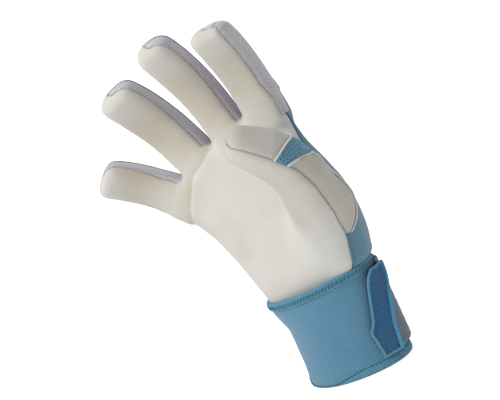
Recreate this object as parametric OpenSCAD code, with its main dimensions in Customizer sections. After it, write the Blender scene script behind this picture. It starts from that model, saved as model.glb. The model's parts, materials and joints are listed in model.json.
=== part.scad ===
// Goalkeeper glove for the right hand, standing on its cuff with the fingers up.
// Origin: centre of the cuff's bottom opening. +Z runs towards the fingers, the palm faces -Y,
// and the thumb is on the +X side. All sizes are millimetres and all angles are degrees.
//
// The hand leans a little towards the little finger, so it has its own frame (see in_hand).
// Each finger is a chain of three padded segments. In a segment's own frame, Z runs along the
// finger, X is its hinge line, and -Y faces the palm side. Every segment is a hollow box of
// three pieces: a latex front, a fabric back and a mesh gusset between them.

/* [Cuff] */
// Height of the cuff from its bottom edge to its top seam
cuff_h = 73; // [71:1:75]
// Half width of the cuff, from the thumb side to the little-finger side
cuff_half_w = 41; // [39:1:43]
// Half depth of the cuff, from the palm side to the back
cuff_half_d = 29; // [27:1:31]
// Thickness of the ribbed knit of the cuff
knit_t = 2.2; // [1.8:0.1:2.6]
// Thickness of the soft lining inside the cuff
cuff_lining_t = 1.2; // [1:0.1:1.6]
// Height of the binding tape at both ends of the cuff
binding_h = 6; // [4:0.5:8]
// Thickness of the binding tape
binding_t = 1; // [0.8:0.1:1.4]

/* [Strap] */
// Bottom edge of the wrist strap above the cuff's bottom edge
strap_z = 15; // [12:1:18]
// Thickness of the elastic strap
strap_t = 1.8; // [1.4:0.1:2.2]
// Thickness of the ribbed pull tab
tab_t = 2.4; // [2:0.1:3]
// Direction of the strap's sewn end, seen from above, 0 being the thumb side
strap_root_deg = 100; // [94:1:104]
// Direction of the fold where the pull tab starts
tab_fold_deg = -8; // [-11:1:-6]
// Direction of the pull tab's free edge
tab_end_deg = -38; // [-39:1:-34]

/* [Palm] */
// Lean of the hand towards the little finger
hand_lean = 13; // [10:1:15]
// Height of the wrist crease above the cuff's bottom edge
wrist_z = 79; // [78:0.5:80]
// Distance of the palm's outer face in front of the hand's middle plane
palm_face = 16; // [15:0.5:17]
// Thickness of the latex palm
palm_t = 5.5; // [4:0.5:6]
// Distance of the backhand's outer face behind the hand's middle plane
back_face = 15; // [14:0.5:16]
// Thickness of the backhand foam
back_foam_t = 4; // [3:0.5:4.5]
// Thickness of every thin lining or fabric layer
fabric_t = 1.2; // [1:0.1:1.4]

/* [Fingers] */
// Index finger: half width, section depth, splay towards the thumb
index_size = [14.5, 25, 11]; // [10:0.5:26]
// Middle finger: half width, section depth, splay towards the thumb
middle_size = [13.5, 24, 5]; // [5:0.5:25]
// Ring finger: half width, section depth, splay towards the thumb
ring_size = [15, 24, -5]; // [-6:0.5:25]
// Little finger: half width, section depth, splay towards the thumb
pinky_size = [14.25, 23, -33]; // [-34:0.25:24]
// Index finger: knuckle position across, in front (negative) and along the hand
index_knuckle = [43, -4, 115]; // [-60:0.5:120]
// Middle finger: knuckle position across, in front (negative) and along the hand
middle_knuckle = [11.5, -4, 114.5]; // [-60:0.5:120]
// Ring finger: knuckle position across, in front (negative) and along the hand
ring_knuckle = [-22, -4, 113]; // [-60:0.5:120]
// Little finger: knuckle position across, in front (negative) and along the hand
pinky_knuckle = [-53, -4, 97.5]; // [-60:0.5:120]
// Index finger: length of each segment from the knuckle to the tip
index_lengths = [22, 21, 23]; // [18:0.5:32]
// Middle finger: length of each segment from the knuckle to the tip
middle_lengths = [26, 25, 30]; // [18:0.5:32]
// Ring finger: length of each segment from the knuckle to the tip
ring_lengths = [24, 23, 26]; // [18:0.5:32]
// Little finger: length of each segment from the knuckle to the tip
pinky_lengths = [17, 17, 19]; // [16:0.5:32]
// Curl at rest of the knuckle, the middle hinge and the tip hinge
rest_curl = [14, 16, 12]; // [8:1:18]

/* [Finger build] */
// Thickness of the latex on a finger's front
latex_t = 5; // [4:0.5:6]
// Thickness of a finger's padded back
finger_back_t = 3; // [2.5:0.5:4]
// Thickness of the mesh gusset at a finger's sides
gusset_t = 2; // [1.6:0.2:2.4]
// Distance of the hinge line behind a finger's front face
hinge_depth = 8; // [7:0.5:9]
// Cut-back of a segment's front at each hinge, so that the finger can close
front_notch_deg = 37; // [36:1:40]

/* [Thumb] */
// Root of the thumb, across, in front (negative) and along the hand
thumb_root = [30, -8, 18]; // [-9:1:31]
// Direction in which the thumb leaves the palm, seen from above, and its lean to the front
thumb_aim = [36, 38.5]; // [34:0.5:40]
// Roll of the thumb about its own line, which turns its pad towards the fingers
thumb_roll = -125; // [-128:1:-122]
// Length of the thumb's base from its root to the flex band
thumb_base_l = 60; // [58:1:62]
// Length of the thumb's end from the flex band to the tip
thumb_tip_l = 50; // [48:1:52]
// Bend of the thumb at rest
thumb_bend = 44; // [42:1:46]
// Half width of the thumb
thumb_half_w = 15; // [14:0.5:16]
// Depth of the thumb from its pad to its back
thumb_depth = 27; // [26:0.5:28]

/* [Hidden] */
$fn = 48;

// Colours
LATEX = [0.90, 0.89, 0.84];
GUSSET = [0.80, 0.78, 0.83];
LINING = [0.93, 0.93, 0.92];
CUFF_BLUE = [0.44, 0.62, 0.72];
BINDING_BLUE = [0.30, 0.46, 0.56];
TAB_BLUE = [0.13, 0.33, 0.47];
STRAP_BLUE = [0.42, 0.50, 0.55];
MESH_BLUE = [0.33, 0.46, 0.53];
SIDE_BLUE = [0.36, 0.50, 0.58];
HOOK_GREY = [0.25, 0.28, 0.31];

// Gap between neighbouring pieces that are sewn together
seam_gap = 0.15;
// Air between neighbouring pieces that move apart
move_gap = 0.5;
// Larger than any piece, for cutting solids
big = 300;

FRONT = 0;
BACK = 1;
GUSSET_SIDE = 2;

INDEX = 0;
MIDDLE = 1;
RING = 2;
PINKY = 3;
sizes = [index_size, middle_size, ring_size, pinky_size];
knuckles = [index_knuckle, middle_knuckle, ring_knuckle, pinky_knuckle];
lengths = [index_lengths, middle_lengths, ring_lengths, pinky_lengths];

function half_w(f) = sizes[f][0];
function depth(f) = sizes[f][1];
function splay(f) = sizes[f][2];
// Unit vectors of a finger in the hand's X-Z plane: along it, and across it towards the thumb
function along(f) = [sin(splay(f)), cos(splay(f))];
function across(f) = [cos(splay(f)), -sin(splay(f))];

// ---------------------------------------------------------------- frames

module in_hand() {
    translate([0, 0, wrist_z]) rotate([0, -hand_lean, 0]) children();
}

// Places children in the frame of segment s (0 base, 1 mid, 2 tip) of finger f
module in_segment(f, s) {
    in_hand() translate(knuckles[f]) rotate([0, splay(f), 0]) down_chain(f, s, 0) children();
}

module down_chain(f, s, at) {
    rotate([rest_curl[at], 0, 0])
        if (at == s) children();
        else translate([0, 0, lengths[f][at]]) down_chain(f, s, at + 1) children();
}

module in_thumb_base() {
    in_hand() translate(thumb_root)
        rotate([0, 0, thumb_aim[0]]) rotate([thumb_aim[1], 0, 0]) rotate([0, 0, thumb_roll])
            children();
}

module in_thumb_tip() {
    in_thumb_base() translate([0, 0, thumb_base_l]) rotate([thumb_bend, 0, 0]) children();
}

// ---------------------------------------------------------------- shared shapes

// Extrudes a shape drawn in X-Z from y0 to y1
module plate(y0, y1) {
    translate([0, y1, 0]) rotate([90, 0, 0]) linear_extrude(y1 - y0) children();
}

// Extrudes a shape drawn in Y-Z from -half to half along X
module side_profile(half) {
    rotate([90, 0, 90]) translate([0, 0, -half]) linear_extrude(2 * half) children();
}

// A rectangle from y0 to y1 with rounded corners, centred on X
module rounded_box(half, y0, y1, r) {
    translate([-half + r, y0]) square([2 * (half - r), y1 - y0]);
    translate([-half, y0 + r]) square([2 * half, y1 - y0 - 2 * r]);
    for (x = [-half + r, half - r], y = [y0 + r, y1 - r]) translate([x, y]) circle(r);
}

// The part of a section that lies in front, behind or between
module section_band(layer, y_front, y_back) {
    if (layer == FRONT) translate([-big / 2, y_front - big]) square([big, big]);
    if (layer == BACK) translate([-big / 2, y_back]) square([big, big]);
    if (layer == GUSSET_SIDE)
        translate([-big / 2, y_front + seam_gap]) square([big, y_back - y_front - 2 * seam_gap]);
}

// ---------------------------------------------------------------- cuff

function oval(grow) = [
    for (a = [0 : 7.5 : 352.5]) [(cuff_half_w + grow) * cos(a), (cuff_half_d + grow) * sin(a)]
];

// An oval tube between two offsets from the knit's outer face
module oval_tube(inner, outer, z0, z1) {
    translate([0, 0, z0]) difference() {
        linear_extrude(z1 - z0) polygon(oval(outer));
        translate([0, 0, -1]) linear_extrude(z1 - z0 + 2) polygon(oval(inner));
    }
}

// A sector seen from above, from direction a0 to direction a1
module sector(a0, a1, z0, z1) {
    steps = ceil((a1 - a0) / 30);
    reach = 4 * cuff_half_w;
    rim = [for (i = [0 : steps]) let (a = a0 + (a1 - a0) * i / steps) [reach * cos(a), reach * sin(a)]];
    translate([0, 0, z0]) linear_extrude(z1 - z0) polygon(concat([[0, 0]], rim));
}

module cuff_knit() {
    color(CUFF_BLUE) oval_tube(-knit_t, 0, binding_t, cuff_h - binding_t);
}

module cuff_lining() {
    color(LINING)
        oval_tube(-knit_t - seam_gap - cuff_lining_t, -knit_t - seam_gap, binding_t, cuff_h - binding_t);
}

// Tape folded over the edges of the knit and its lining
module binding(z0, z1) {
    layers_t = knit_t + seam_gap + cuff_lining_t;
    difference() {
        oval_tube(-layers_t - seam_gap - binding_t, seam_gap + binding_t, z0, z1);
        oval_tube(-layers_t - seam_gap, seam_gap, binding_t - seam_gap, cuff_h - binding_t + seam_gap);
    }
}

module cuff_top_binding() {
    color(BINDING_BLUE) binding(cuff_h - binding_h, cuff_h);
}

module cuff_hem_binding() {
    color(BINDING_BLUE) binding(0, binding_h);
}

// Offsets of the strap's inner and outer faces from the knit
strap_in = binding_t + 2 * seam_gap + move_gap;
strap_out = strap_in + strap_t;
// Height of the strap's top edge, just under the cuff's top seam
strap_top = cuff_h - 1;
// Thickness of the hook and loop patches, and where they start and end
patch_t = 0.8;
patch_z0 = strap_z + 4;
patch_z1 = cuff_h - binding_h - 2;
// Room around a hinge fold, in degrees round the cuff, so that a flap can swing
fold_room = 2.5;
anchor_room = 4;
// Width of the seam tape at the strap's sewn end, in degrees round the cuff
anchor_deg = 12;
// Slant of the pull tab's free edge
tab_slant = 16;

module cuff_loop_patch() {
    color(SIDE_BLUE) intersection() {
        oval_tube(seam_gap, seam_gap + patch_t, patch_z0, patch_z1);
        sector(tab_end_deg - 4, tab_fold_deg, patch_z0 - 1, patch_z1 + 1);
    }
}

// ---------------------------------------------------------------- strap

module strap_arc(inner, outer, a0, a1, z0, z1) {
    intersection() {
        oval_tube(inner, outer, z0, z1);
        sector(a0, a1, z0 - 1, z1 + 1);
    }
}

module strap_panel() {
    color(STRAP_BLUE)
        strap_arc(strap_in, strap_out, tab_fold_deg + fold_room, strap_root_deg, strap_z, strap_top);
}

// Seam tape that holds the strap's sewn end on the back of the cuff
module strap_anchor_seam() {
    color(BINDING_BLUE)
        strap_arc(seam_gap, strap_out, strap_root_deg + anchor_room,
                  strap_root_deg + anchor_room + anchor_deg, strap_z, cuff_h - binding_h - 1);
}

// The pull tab folds over the strap's end, and its free edge slants down to the front
module strap_tab() {
    tab_in = strap_in + patch_t;
    slant_at = -0.15 * cuff_half_w;
    color(TAB_BLUE) difference() {
        strap_arc(tab_in, tab_in + tab_t, tab_end_deg, tab_fold_deg, strap_z, strap_top);
        translate([0, -cuff_half_d, cuff_h]) rotate([0, tab_slant, 0])
            translate([slant_at - big, -big / 2, -big / 2]) cube(big);
    }
}

module strap_hook_patch() {
    color(HOOK_GREY)
        strap_arc(strap_in - 0.4, strap_in + patch_t - seam_gap, tab_end_deg + 12, tab_fold_deg - 2,
                  patch_z0 + 3, patch_z1 - 3);
}

// ---------------------------------------------------------------- hand

// Distance of the palm's edge below each knuckle, and of the backhand's edge
front_setback = 7.5;
back_setback = 2;

// Corners of the hand's top edge, from the little finger to the index finger
function top_edge(setback) = [
    for (f = [PINKY, RING, MIDDLE, INDEX], side = [-1, 1])
        let (k = knuckles[f], a = across(f), d = along(f))
        [k[0] + side * half_w(f) * a[0] - setback * d[0], k[2] + side * half_w(f) * a[1] - setback * d[1]]
];

// Outer edge of the palm on the little finger's side, from the wrist up
ulnar_edge = [[-39, -12], [-42, 28], [-45, 53], [-53, 74]];
// Outer edge of the hand on the thumb's side, from the index finger down
radial_edge = [[54, 92], [50, 74], [48, 48], [42, 8], [42, -12]];
// Edge of the palm where the thumb's base lies over it, from the index finger down
thenar_edge = [[54, 92], [48, 80], [32, 72], [19, 62], [14, 44], [14, -12]];

module hand_shape(setback, thumb_side) {
    polygon(concat(ulnar_edge, top_edge(setback), thumb_side));
}

// Height above the wrist crease where the hand's layers start, clear of the cuff when the hand nods
wrist_gap = 3.5;
// Thickness of the backhand's outer latex
back_panel_t = 1.5;

// Keeps what lies above the wrist
module above_wrist() {
    intersection() {
        in_hand() children();
        translate([-big / 2, -big / 2, wrist_z + wrist_gap]) cube(big);
    }
}

module palm_latex() {
    color(LATEX) above_wrist()
        plate(-palm_face, -palm_face + palm_t) hand_shape(front_setback, thenar_edge);
}

module palm_lining() {
    lining_y = -palm_face + palm_t + seam_gap;
    color(LINING) above_wrist()
        plate(lining_y, lining_y + fabric_t) hand_shape(front_setback, thenar_edge);
}

module backhand_panel() {
    color(LATEX) above_wrist()
        plate(back_face - back_panel_t, back_face) hand_shape(back_setback, radial_edge);
}

module backhand_foam() {
    foam_y = back_face - back_panel_t - seam_gap;
    color(LINING) above_wrist()
        plate(foam_y - back_foam_t, foam_y) hand_shape(back_setback, radial_edge);
}

module backhand_lining() {
    lining_y = back_face - back_panel_t - 2 * seam_gap - back_foam_t;
    color(LINING) above_wrist()
        plate(lining_y - fabric_t, lining_y) hand_shape(back_setback, radial_edge);
}

// Inner faces of the linings, between which the side panels stand
side_y0 = -palm_face + palm_t + fabric_t + 2 * seam_gap;
side_y1 = back_face - back_panel_t - back_foam_t - fabric_t - 3 * seam_gap;
// Where the blue side panel starts, behind the thumb's base
radial_y0 = 4.5;
// Thickness of both side panels across the hand
side_panel_t = 2 * fabric_t;

// A strip between a chain of edge points and the same chain moved inward
module edge_strip(points, inward) {
    polygon(concat(points, [for (i = [len(points) - 1 : -1 : 0]) points[i] + inward]));
}

module ulnar_side_panel() {
    first = top_edge(front_setback)[0];
    color(LATEX) above_wrist()
        plate(side_y0, side_y1) edge_strip(concat(ulnar_edge, [first]), [side_panel_t, 0]);
}

module radial_side_panel() {
    color(SIDE_BLUE) above_wrist()
        plate(radial_y0, side_y1) edge_strip([for (i = [1 : 4]) radial_edge[i]], [-side_panel_t, 0]);
}

// ---------------------------------------------------------------- fingers

// Side view of a segment. Both ends slope away from the hinge line at y = 0.
module segment_profile(length, y0, y1, start_deg, end_deg) {
    e = move_gap / 2;
    polygon([
        [y0, e - y0 * tan(start_deg)],
        [0, e],
        [y1, e],
        [y1, length - e],
        [0, length - e],
        [y0, length - e + y0 * tan(end_deg)]
    ]);
}

// Corner radii of a fingertip seen from its side, in front and behind
tip_r_front = 7;
tip_r_back = 13;

// Side view of a fingertip
module tip_profile(length, y0, y1, start_deg) {
    r_front = tip_r_front;
    r_back = tip_r_back;
    e = move_gap / 2;
    polygon([
        [y0, e - y0 * tan(start_deg)], [0, e], [y1, e],
        [y1, length - r_back], [y1 - r_back, length], [y0 + r_front, length], [y0, length - r_front]
    ]);
    translate([y0 + r_front, length - r_front]) circle(r_front);
    translate([y1 - r_back, length - r_back]) circle(r_back);
}

// Corner radius of a fingertip seen from the front, as a share of its half width
tip_roundness = 0.68;

// Front view of a fingertip, blunt with round corners
module tip_outline(half, length) {
    r = tip_roundness * half;
    translate([-half, -1]) square([2 * half, length - r + 1]);
    translate([-half + r, 0]) square([2 * (half - r), length]);
    for (x = [-half + r, half - r]) translate([x, length - r]) circle(r);
}

// How far the front and the back reach round the sides, past their own thickness
front_wrap = 1.5;
back_wrap = 2;
// Corner radii of a finger's section, outside and inside
finger_r = 7.5;
finger_inner_r = 5;

module finger_piece(f, s, layer) {
    half = half_w(f);
    length = lengths[f][s];
    y0 = -hinge_depth;
    y1 = depth(f) - hinge_depth;
    y_front = y0 + latex_t + front_wrap;
    y_back = y1 - finger_back_t - back_wrap;
    end = s == 2 ? length - latex_t : length + 1;
    in_segment(f, s) difference() {
        intersection() {
            linear_extrude(length) intersection() {
                rounded_box(half, y0, y1, finger_r);
                section_band(layer, y_front, y_back);
            }
            side_profile(half + 1)
                if (s == 2) tip_profile(length, y0, y1, front_notch_deg);
                else segment_profile(length, y0, y1, front_notch_deg, front_notch_deg);
            if (s == 2) plate(y0 - 1, y1 + 1) tip_outline(half, length);
        }
        translate([0, 0, -1]) linear_extrude(end + 1)
            rounded_box(half - gusset_t, y0 + latex_t, y1 - finger_back_t, finger_inner_r);
    }
}

module finger_latex(f, s) {
    color(LATEX) finger_piece(f, s, FRONT);
}

module finger_back(f, s) {
    color(LATEX) finger_piece(f, s, BACK);
}

module finger_gusset(f, s) {
    color(GUSSET) finger_piece(f, s, GUSSET_SIDE);
}

// ---------------------------------------------------------------- thumb

// Front and back faces of the thumb
thumb_y0 = -thumb_depth / 2;
thumb_y1 = thumb_depth / 2;
// Cut-back of the thumb's front at its hinge
thumb_notch_deg = 38;
// Length of the mesh band across the thumb's back
band_l = 9;
// Start of the thumb's base above its root
thumb_z0 = 12;
thumb_z1 = thumb_base_l - band_l;
// Faces where the base's latex, side wall and pad meet
thumb_inner = 7;

// Outline of the thumb's base in its own X-Z plane, wider towards the palm
module thumb_base_outline(z0, z1) {
    near = thumb_half_w + 3;
    polygon([[-thumb_half_w + 3, z0], [near, z0], [thumb_half_w, z1], [-thumb_half_w, z1]]);
}

// Side view of the thumb's base, with its front cut back below the flex band
module thumb_base_profile(z0, z1) {
    notch = (thumb_y1 + 4) * tan(thumb_notch_deg);
    polygon([[thumb_y0 - 2, z0], [thumb_y1 + 2, z0], [thumb_y1, z1], [0, z1], [thumb_y0, z1 - notch]]);
}

// The space of the thumb's base, kept in front of the hand so that the thumb can swing out
module thumb_base_block(z0, z1) {
    intersection() {
        in_thumb_base() intersection() {
            plate(-big / 2, big / 2) thumb_base_outline(z0, z1);
            side_profile(big / 2) thumb_base_profile(z0, z1);
        }
        in_hand() translate([-big / 2, -big - 9, 12]) cube(big);
    }
}

module thumb_layer(y0, y1) {
    in_thumb_base() translate([-big / 2, y0, -big / 2]) cube([big, y1 - y0, big]);
}

module thumb_base_latex() {
    color(LATEX) intersection() {
        thumb_base_block(thumb_z0, thumb_z1);
        thumb_layer(-big / 2, -thumb_inner);
    }
}

module thumb_base_side() {
    color(LATEX) difference() {
        intersection() {
            thumb_base_block(thumb_z0, thumb_z1);
            thumb_layer(-thumb_inner + seam_gap, thumb_inner - seam_gap);
        }
        in_thumb_base() translate([-thumb_half_w + 4, -big / 2, -big / 2])
            cube([2 * thumb_half_w - 7, big, big]);
    }
}

module thumb_base_pad() {
    color(LATEX) intersection() {
        thumb_base_block(thumb_z0, thumb_z1);
        thumb_layer(thumb_inner, big / 2);
    }
}

// Perforated mesh across the back of the thumb, just below its hinge
module thumb_flex_band() {
    color(MESH_BLUE) in_thumb_base() translate([-thumb_half_w, 3, thumb_z1 + seam_gap])
        cube([2 * thumb_half_w, thumb_y1 - 3, band_l - move_gap - seam_gap]);
}

module thumb_tip_piece(layer) {
    in_thumb_tip() difference() {
        intersection() {
            linear_extrude(thumb_tip_l) intersection() {
                rounded_box(thumb_half_w, thumb_y0, thumb_y1, 8);
                section_band(layer, thumb_y0 + latex_t + 3, thumb_y1 - latex_t);
            }
            side_profile(big / 2) tip_profile(thumb_tip_l, thumb_y0, thumb_y1, thumb_notch_deg);
            plate(-big / 2, big / 2) tip_outline(thumb_half_w, thumb_tip_l);
        }
        translate([0, 0, -1]) linear_extrude(thumb_tip_l - latex_t + 1)
            rounded_box(thumb_half_w - gusset_t - 1, thumb_y0 + latex_t, thumb_y1 - finger_back_t, 6);
    }
}

module thumb_tip_latex() {
    color(LATEX) thumb_tip_piece(FRONT);
}

module thumb_tip_back() {
    color(LATEX) thumb_tip_piece(BACK);
}

module thumb_tip_gusset() {
    color(GUSSET) thumb_tip_piece(GUSSET_SIDE);
}

// ---------------------------------------------------------------- nodes

cuff_knit();
cuff_lining();
cuff_top_binding();
cuff_hem_binding();
cuff_loop_patch();
strap_panel();
strap_anchor_seam();
strap_tab();
strap_hook_patch();
palm_latex();
palm_lining();
backhand_panel();
backhand_foam();
backhand_lining();
ulnar_side_panel();
radial_side_panel();
thumb_base_latex();
thumb_base_pad();
thumb_base_side();
thumb_flex_band();
thumb_tip_latex();
thumb_tip_back();
thumb_tip_gusset();
finger_latex(INDEX, 0);  // index_base_latex
finger_back(INDEX, 0);  // index_base_back
finger_gusset(INDEX, 0);  // index_base_gusset
finger_latex(INDEX, 1);  // index_mid_latex
finger_back(INDEX, 1);  // index_mid_back
finger_gusset(INDEX, 1);  // index_mid_gusset
finger_latex(INDEX, 2);  // index_tip_latex
finger_back(INDEX, 2);  // index_tip_back
finger_gusset(INDEX, 2);  // index_tip_gusset
finger_latex(MIDDLE, 0);  // middle_base_latex
finger_back(MIDDLE, 0);  // middle_base_back
finger_gusset(MIDDLE, 0);  // middle_base_gusset
finger_latex(MIDDLE, 1);  // middle_mid_latex
finger_back(MIDDLE, 1);  // middle_mid_back
finger_gusset(MIDDLE, 1);  // middle_mid_gusset
finger_latex(MIDDLE, 2);  // middle_tip_latex
finger_back(MIDDLE, 2);  // middle_tip_back
finger_gusset(MIDDLE, 2);  // middle_tip_gusset
finger_latex(RING, 0);  // ring_base_latex
finger_back(RING, 0);  // ring_base_back
finger_gusset(RING, 0);  // ring_base_gusset
finger_latex(RING, 1);  // ring_mid_latex
finger_back(RING, 1);  // ring_mid_back
finger_gusset(RING, 1);  // ring_mid_gusset
finger_latex(RING, 2);  // ring_tip_latex
finger_back(RING, 2);  // ring_tip_back
finger_gusset(RING, 2);  // ring_tip_gusset
finger_latex(PINKY, 0);  // pinky_base_latex
finger_back(PINKY, 0);  // pinky_base_back
finger_gusset(PINKY, 0);  // pinky_base_gusset
finger_latex(PINKY, 1);  // pinky_mid_latex
finger_back(PINKY, 1);  // pinky_mid_back
finger_gusset(PINKY, 1);  // pinky_mid_gusset
finger_latex(PINKY, 2);  // pinky_tip_latex
finger_back(PINKY, 2);  // pinky_tip_back
finger_gusset(PINKY, 2);  // pinky_tip_gusset
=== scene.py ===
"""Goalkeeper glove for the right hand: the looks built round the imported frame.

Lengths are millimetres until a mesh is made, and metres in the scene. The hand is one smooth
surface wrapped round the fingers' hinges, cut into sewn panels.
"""

import json
import math

import bpy
import numpy as np
from mathutils import Matrix, Vector


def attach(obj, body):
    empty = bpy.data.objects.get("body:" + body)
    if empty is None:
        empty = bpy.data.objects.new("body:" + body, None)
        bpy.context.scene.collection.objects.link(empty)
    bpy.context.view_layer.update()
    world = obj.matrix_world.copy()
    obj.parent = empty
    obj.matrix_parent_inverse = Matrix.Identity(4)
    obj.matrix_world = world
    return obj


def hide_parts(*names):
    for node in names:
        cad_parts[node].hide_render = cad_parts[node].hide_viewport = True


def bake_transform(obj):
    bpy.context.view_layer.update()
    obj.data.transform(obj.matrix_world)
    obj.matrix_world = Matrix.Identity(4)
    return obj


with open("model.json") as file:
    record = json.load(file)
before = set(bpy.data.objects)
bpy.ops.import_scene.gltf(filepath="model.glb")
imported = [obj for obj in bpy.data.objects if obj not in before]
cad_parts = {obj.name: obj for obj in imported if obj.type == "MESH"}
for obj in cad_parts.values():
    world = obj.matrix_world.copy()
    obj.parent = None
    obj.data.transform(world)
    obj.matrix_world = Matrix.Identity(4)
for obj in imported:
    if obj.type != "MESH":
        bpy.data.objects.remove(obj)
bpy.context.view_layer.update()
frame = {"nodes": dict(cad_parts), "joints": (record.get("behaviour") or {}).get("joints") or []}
MM = 0.001
JOINTS = {j["name"]: j for j in frame["joints"]}
FINGERS = ["index", "middle", "ring", "pinky"]


# ---------------------------------------------------------------- small helpers

def unit(v):
    v = np.asarray(v, float)
    return v / np.linalg.norm(v)


def turn(v, axis, deg):
    """v turned about a unit axis, by the right-hand rule."""
    a = math.radians(deg)
    return v * math.cos(a) + np.cross(axis, v) * math.sin(a) + axis * (axis @ v) * (1 - math.cos(a))


def step(x, a, b):
    """0 below a, 1 above b, smooth between."""
    t = np.clip((x - a) / (b - a), 0, 1)
    return t * t * (3 - 2 * t)


def soft_line(x, knots, w=5.0):
    """The (x, y) knots joined by lines whose corners are rounded over w."""
    xs, ys = zip(*knots)
    return sum(np.interp(x + k * w, xs, ys) for k in (-1, -0.5, 0, 0.5, 1)) / 5


def soft_min(a, b, k):
    h = np.maximum(k - np.abs(a - b), 0) / k
    return np.minimum(a, b) - h * h * k / 4


def soft_max(a, b, k):
    return -soft_min(-a, -b, k)


def pivot(name):
    return np.array(JOINTS[name]["pos_m"]) / MM


def hinge(name):
    return unit(JOINTS[name]["axis"])


def node_points(name):
    mesh = frame["nodes"][name].data
    co = np.empty(len(mesh.vertices) * 3, np.float32)
    mesh.vertices.foreach_get("co", co)
    return co.reshape(-1, 3).astype(float) / MM


# ---------------------------------------------------------------- where the hand is

WRIST = pivot("wrist_flex")
BACKWARD = np.array([0.0, 1.0, 0.0])
HAND_UP = hinge("thumb_swing")
HAND_ACROSS = np.cross(BACKWARD, HAND_UP)


class Chain:
    """A bent centre line in one plane. Points get (across, behind, along) coordinates round it."""

    def __init__(self, root, across, forward, points):
        self.root = root
        self.across = across
        self.forward = forward
        self.behind = np.cross(forward, across)
        q = np.array([[(p - root) @ self.forward, (p - root) @ self.behind] for p in points])
        for _ in range(2):
            cut = [q[0]]
            for a, b in zip(q[:-1], q[1:]):
                cut += [0.75 * a + 0.25 * b, 0.25 * a + 0.75 * b]
            q = np.array(cut[:1] + cut[2:-1] + [q[-1]])
        self.q = q
        self.d = np.diff(q, axis=0)
        self.len = np.linalg.norm(self.d, axis=1)
        self.d /= self.len[:, None]
        self.at = np.concatenate([[0], np.cumsum(self.len)])
        self.start = 0.0
        self.start = self.coords(root[None])[2][0]
        self.end = self.at[-1] - self.start

    def coords(self, p):
        r = p - self.root
        u = r @ self.across
        x = np.stack([r @ self.forward, r @ self.behind], -1)
        best = np.full(len(p), np.inf)
        v, t = np.zeros(len(p)), np.zeros(len(p))
        last = len(self.len) - 1
        for i, (q, d, n) in enumerate(zip(self.q, self.d, self.len)):
            y = x - q
            s = y @ d
            s = np.minimum(s, n) if i < last else s
            s = np.maximum(s, 0) if i > 0 else s
            w = y - s[:, None] * d
            dist = np.einsum("ij,ij->i", w, w)
            near = dist < best
            best = np.where(near, dist, best)
            side = np.sign(d[0] * w[:, 1] - d[1] * w[:, 0])
            v = np.where(near, side * np.sqrt(dist), v)
            t = np.where(near, self.at[i] + s, t)
        return u, v, t - self.start

    def centre(self, t):
        """The point of the centre line at t."""
        s = t + self.start
        i = int(np.clip(np.searchsorted(self.at, s) - 1, 0, len(self.len) - 1))
        x = self.q[i] + self.d[i] * (s - self.at[i])
        return self.root + self.forward * x[0] + self.behind * x[1]


TIP_CURL = 12          # degrees that a fingertip is bent past its last hinge
HINGE_TO_FRONT = 8     # from a hinge to the finger's front
PALM_LEAD = 35         # how far a finger's centre line starts below its knuckle


def finger_chain(name):
    k, m, t = (pivot(name + e) for e in ("_knuckle", "_mid_hinge", "_tip_hinge"))
    a = hinge(name + "_knuckle")
    d0 = unit(np.cross(a, BACKWARD))
    d1, d2 = unit(m - k), unit(t - m)
    d3 = turn(d2, a, TIP_CURL)
    latex = node_points(name + "_tip_latex")
    reach = ((latex - t) @ d3).max()
    n1, n2, n3 = (np.cross(d, a) for d in (d1, d2, d3))
    back = ((node_points(name + "_tip_back") - t) @ n3).max()
    mid = (back - HINGE_TO_FRONT) / 2
    points = [k - PALM_LEAD * d0 + mid * BACKWARD, k + mid * unit(BACKWARD + n1),
              m + mid * unit(n1 + n2), t + mid * unit(n2 + n3), t + reach * d3 + mid * n3]
    c = Chain(k, a, d0, points)
    c.half_w = np.abs((latex - k) @ a).max()
    c.half_d = (back + HINGE_TO_FRONT) / 2
    c.joint_at = [c.coords(p[None])[2][0] for p in (k, m, t)]
    return c


THUMB_BEND = 44        # degrees that the thumb's end is bent at rest
BALL = 20              # how far the ball of the thumb reaches below its hinge


def thumb_chain():
    root, bend_at = pivot("thumb_swing"), pivot("thumb_unbend")
    a = -hinge("thumb_unbend")
    d1 = unit(bend_at - root)
    d2 = turn(d1, a, THUMB_BEND)
    reach = ((node_points("thumb_tip_latex") - bend_at) @ d2).max()
    return Chain(root, a, d1, [root - BALL * d1, bend_at, bend_at + reach * d2])


CHAINS = {f: finger_chain(f) for f in FINGERS}
THUMB = thumb_chain()
PARTS = {"thumb": THUMB, **CHAINS}


# ---------------------------------------------------------------- the hand's outer surface

def rounded(terms, n):
    """Distance to a rounded block. Each term is (how far out, half size)."""
    g = np.maximum(sum((np.abs(x) / s) ** n for x, s in terms), 1e-6) ** (1 / n)
    slope = np.sqrt(sum(((np.abs(x) / s) ** (n - 1) / s) ** 2 for x, s in terms)) / g ** (n - 1)
    return (g - 1) / np.maximum(slope, 1e-4)


def between(x, low, high):
    """How far x is from the middle of two limits, and their half distance."""
    return x - (low + high) / 2, (high - low) / 2


# Section squareness and end rounding of each finger
SQUARE = {"index": 3.3, "middle": 2.8, "ring": 3.1, "pinky": 3.1}
TIP_ROUND = {"index": 12.0, "middle": 13.0, "ring": 12.0, "pinky": 11.0}
# How much slimmer than its CAD segments each finger is, across and at its back
SLIM = {"index": (0.3, 1.3), "middle": (0.0, 0.3), "ring": (0.0, 0.5), "pinky": (0.9, 0.6)}
# How much the back of a fingertip is cut back, per millimetre behind its middle
TIP_SLANT = {"index": 0.55, "middle": 0.25, "ring": 0.3, "pinky": 0.4}


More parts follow.
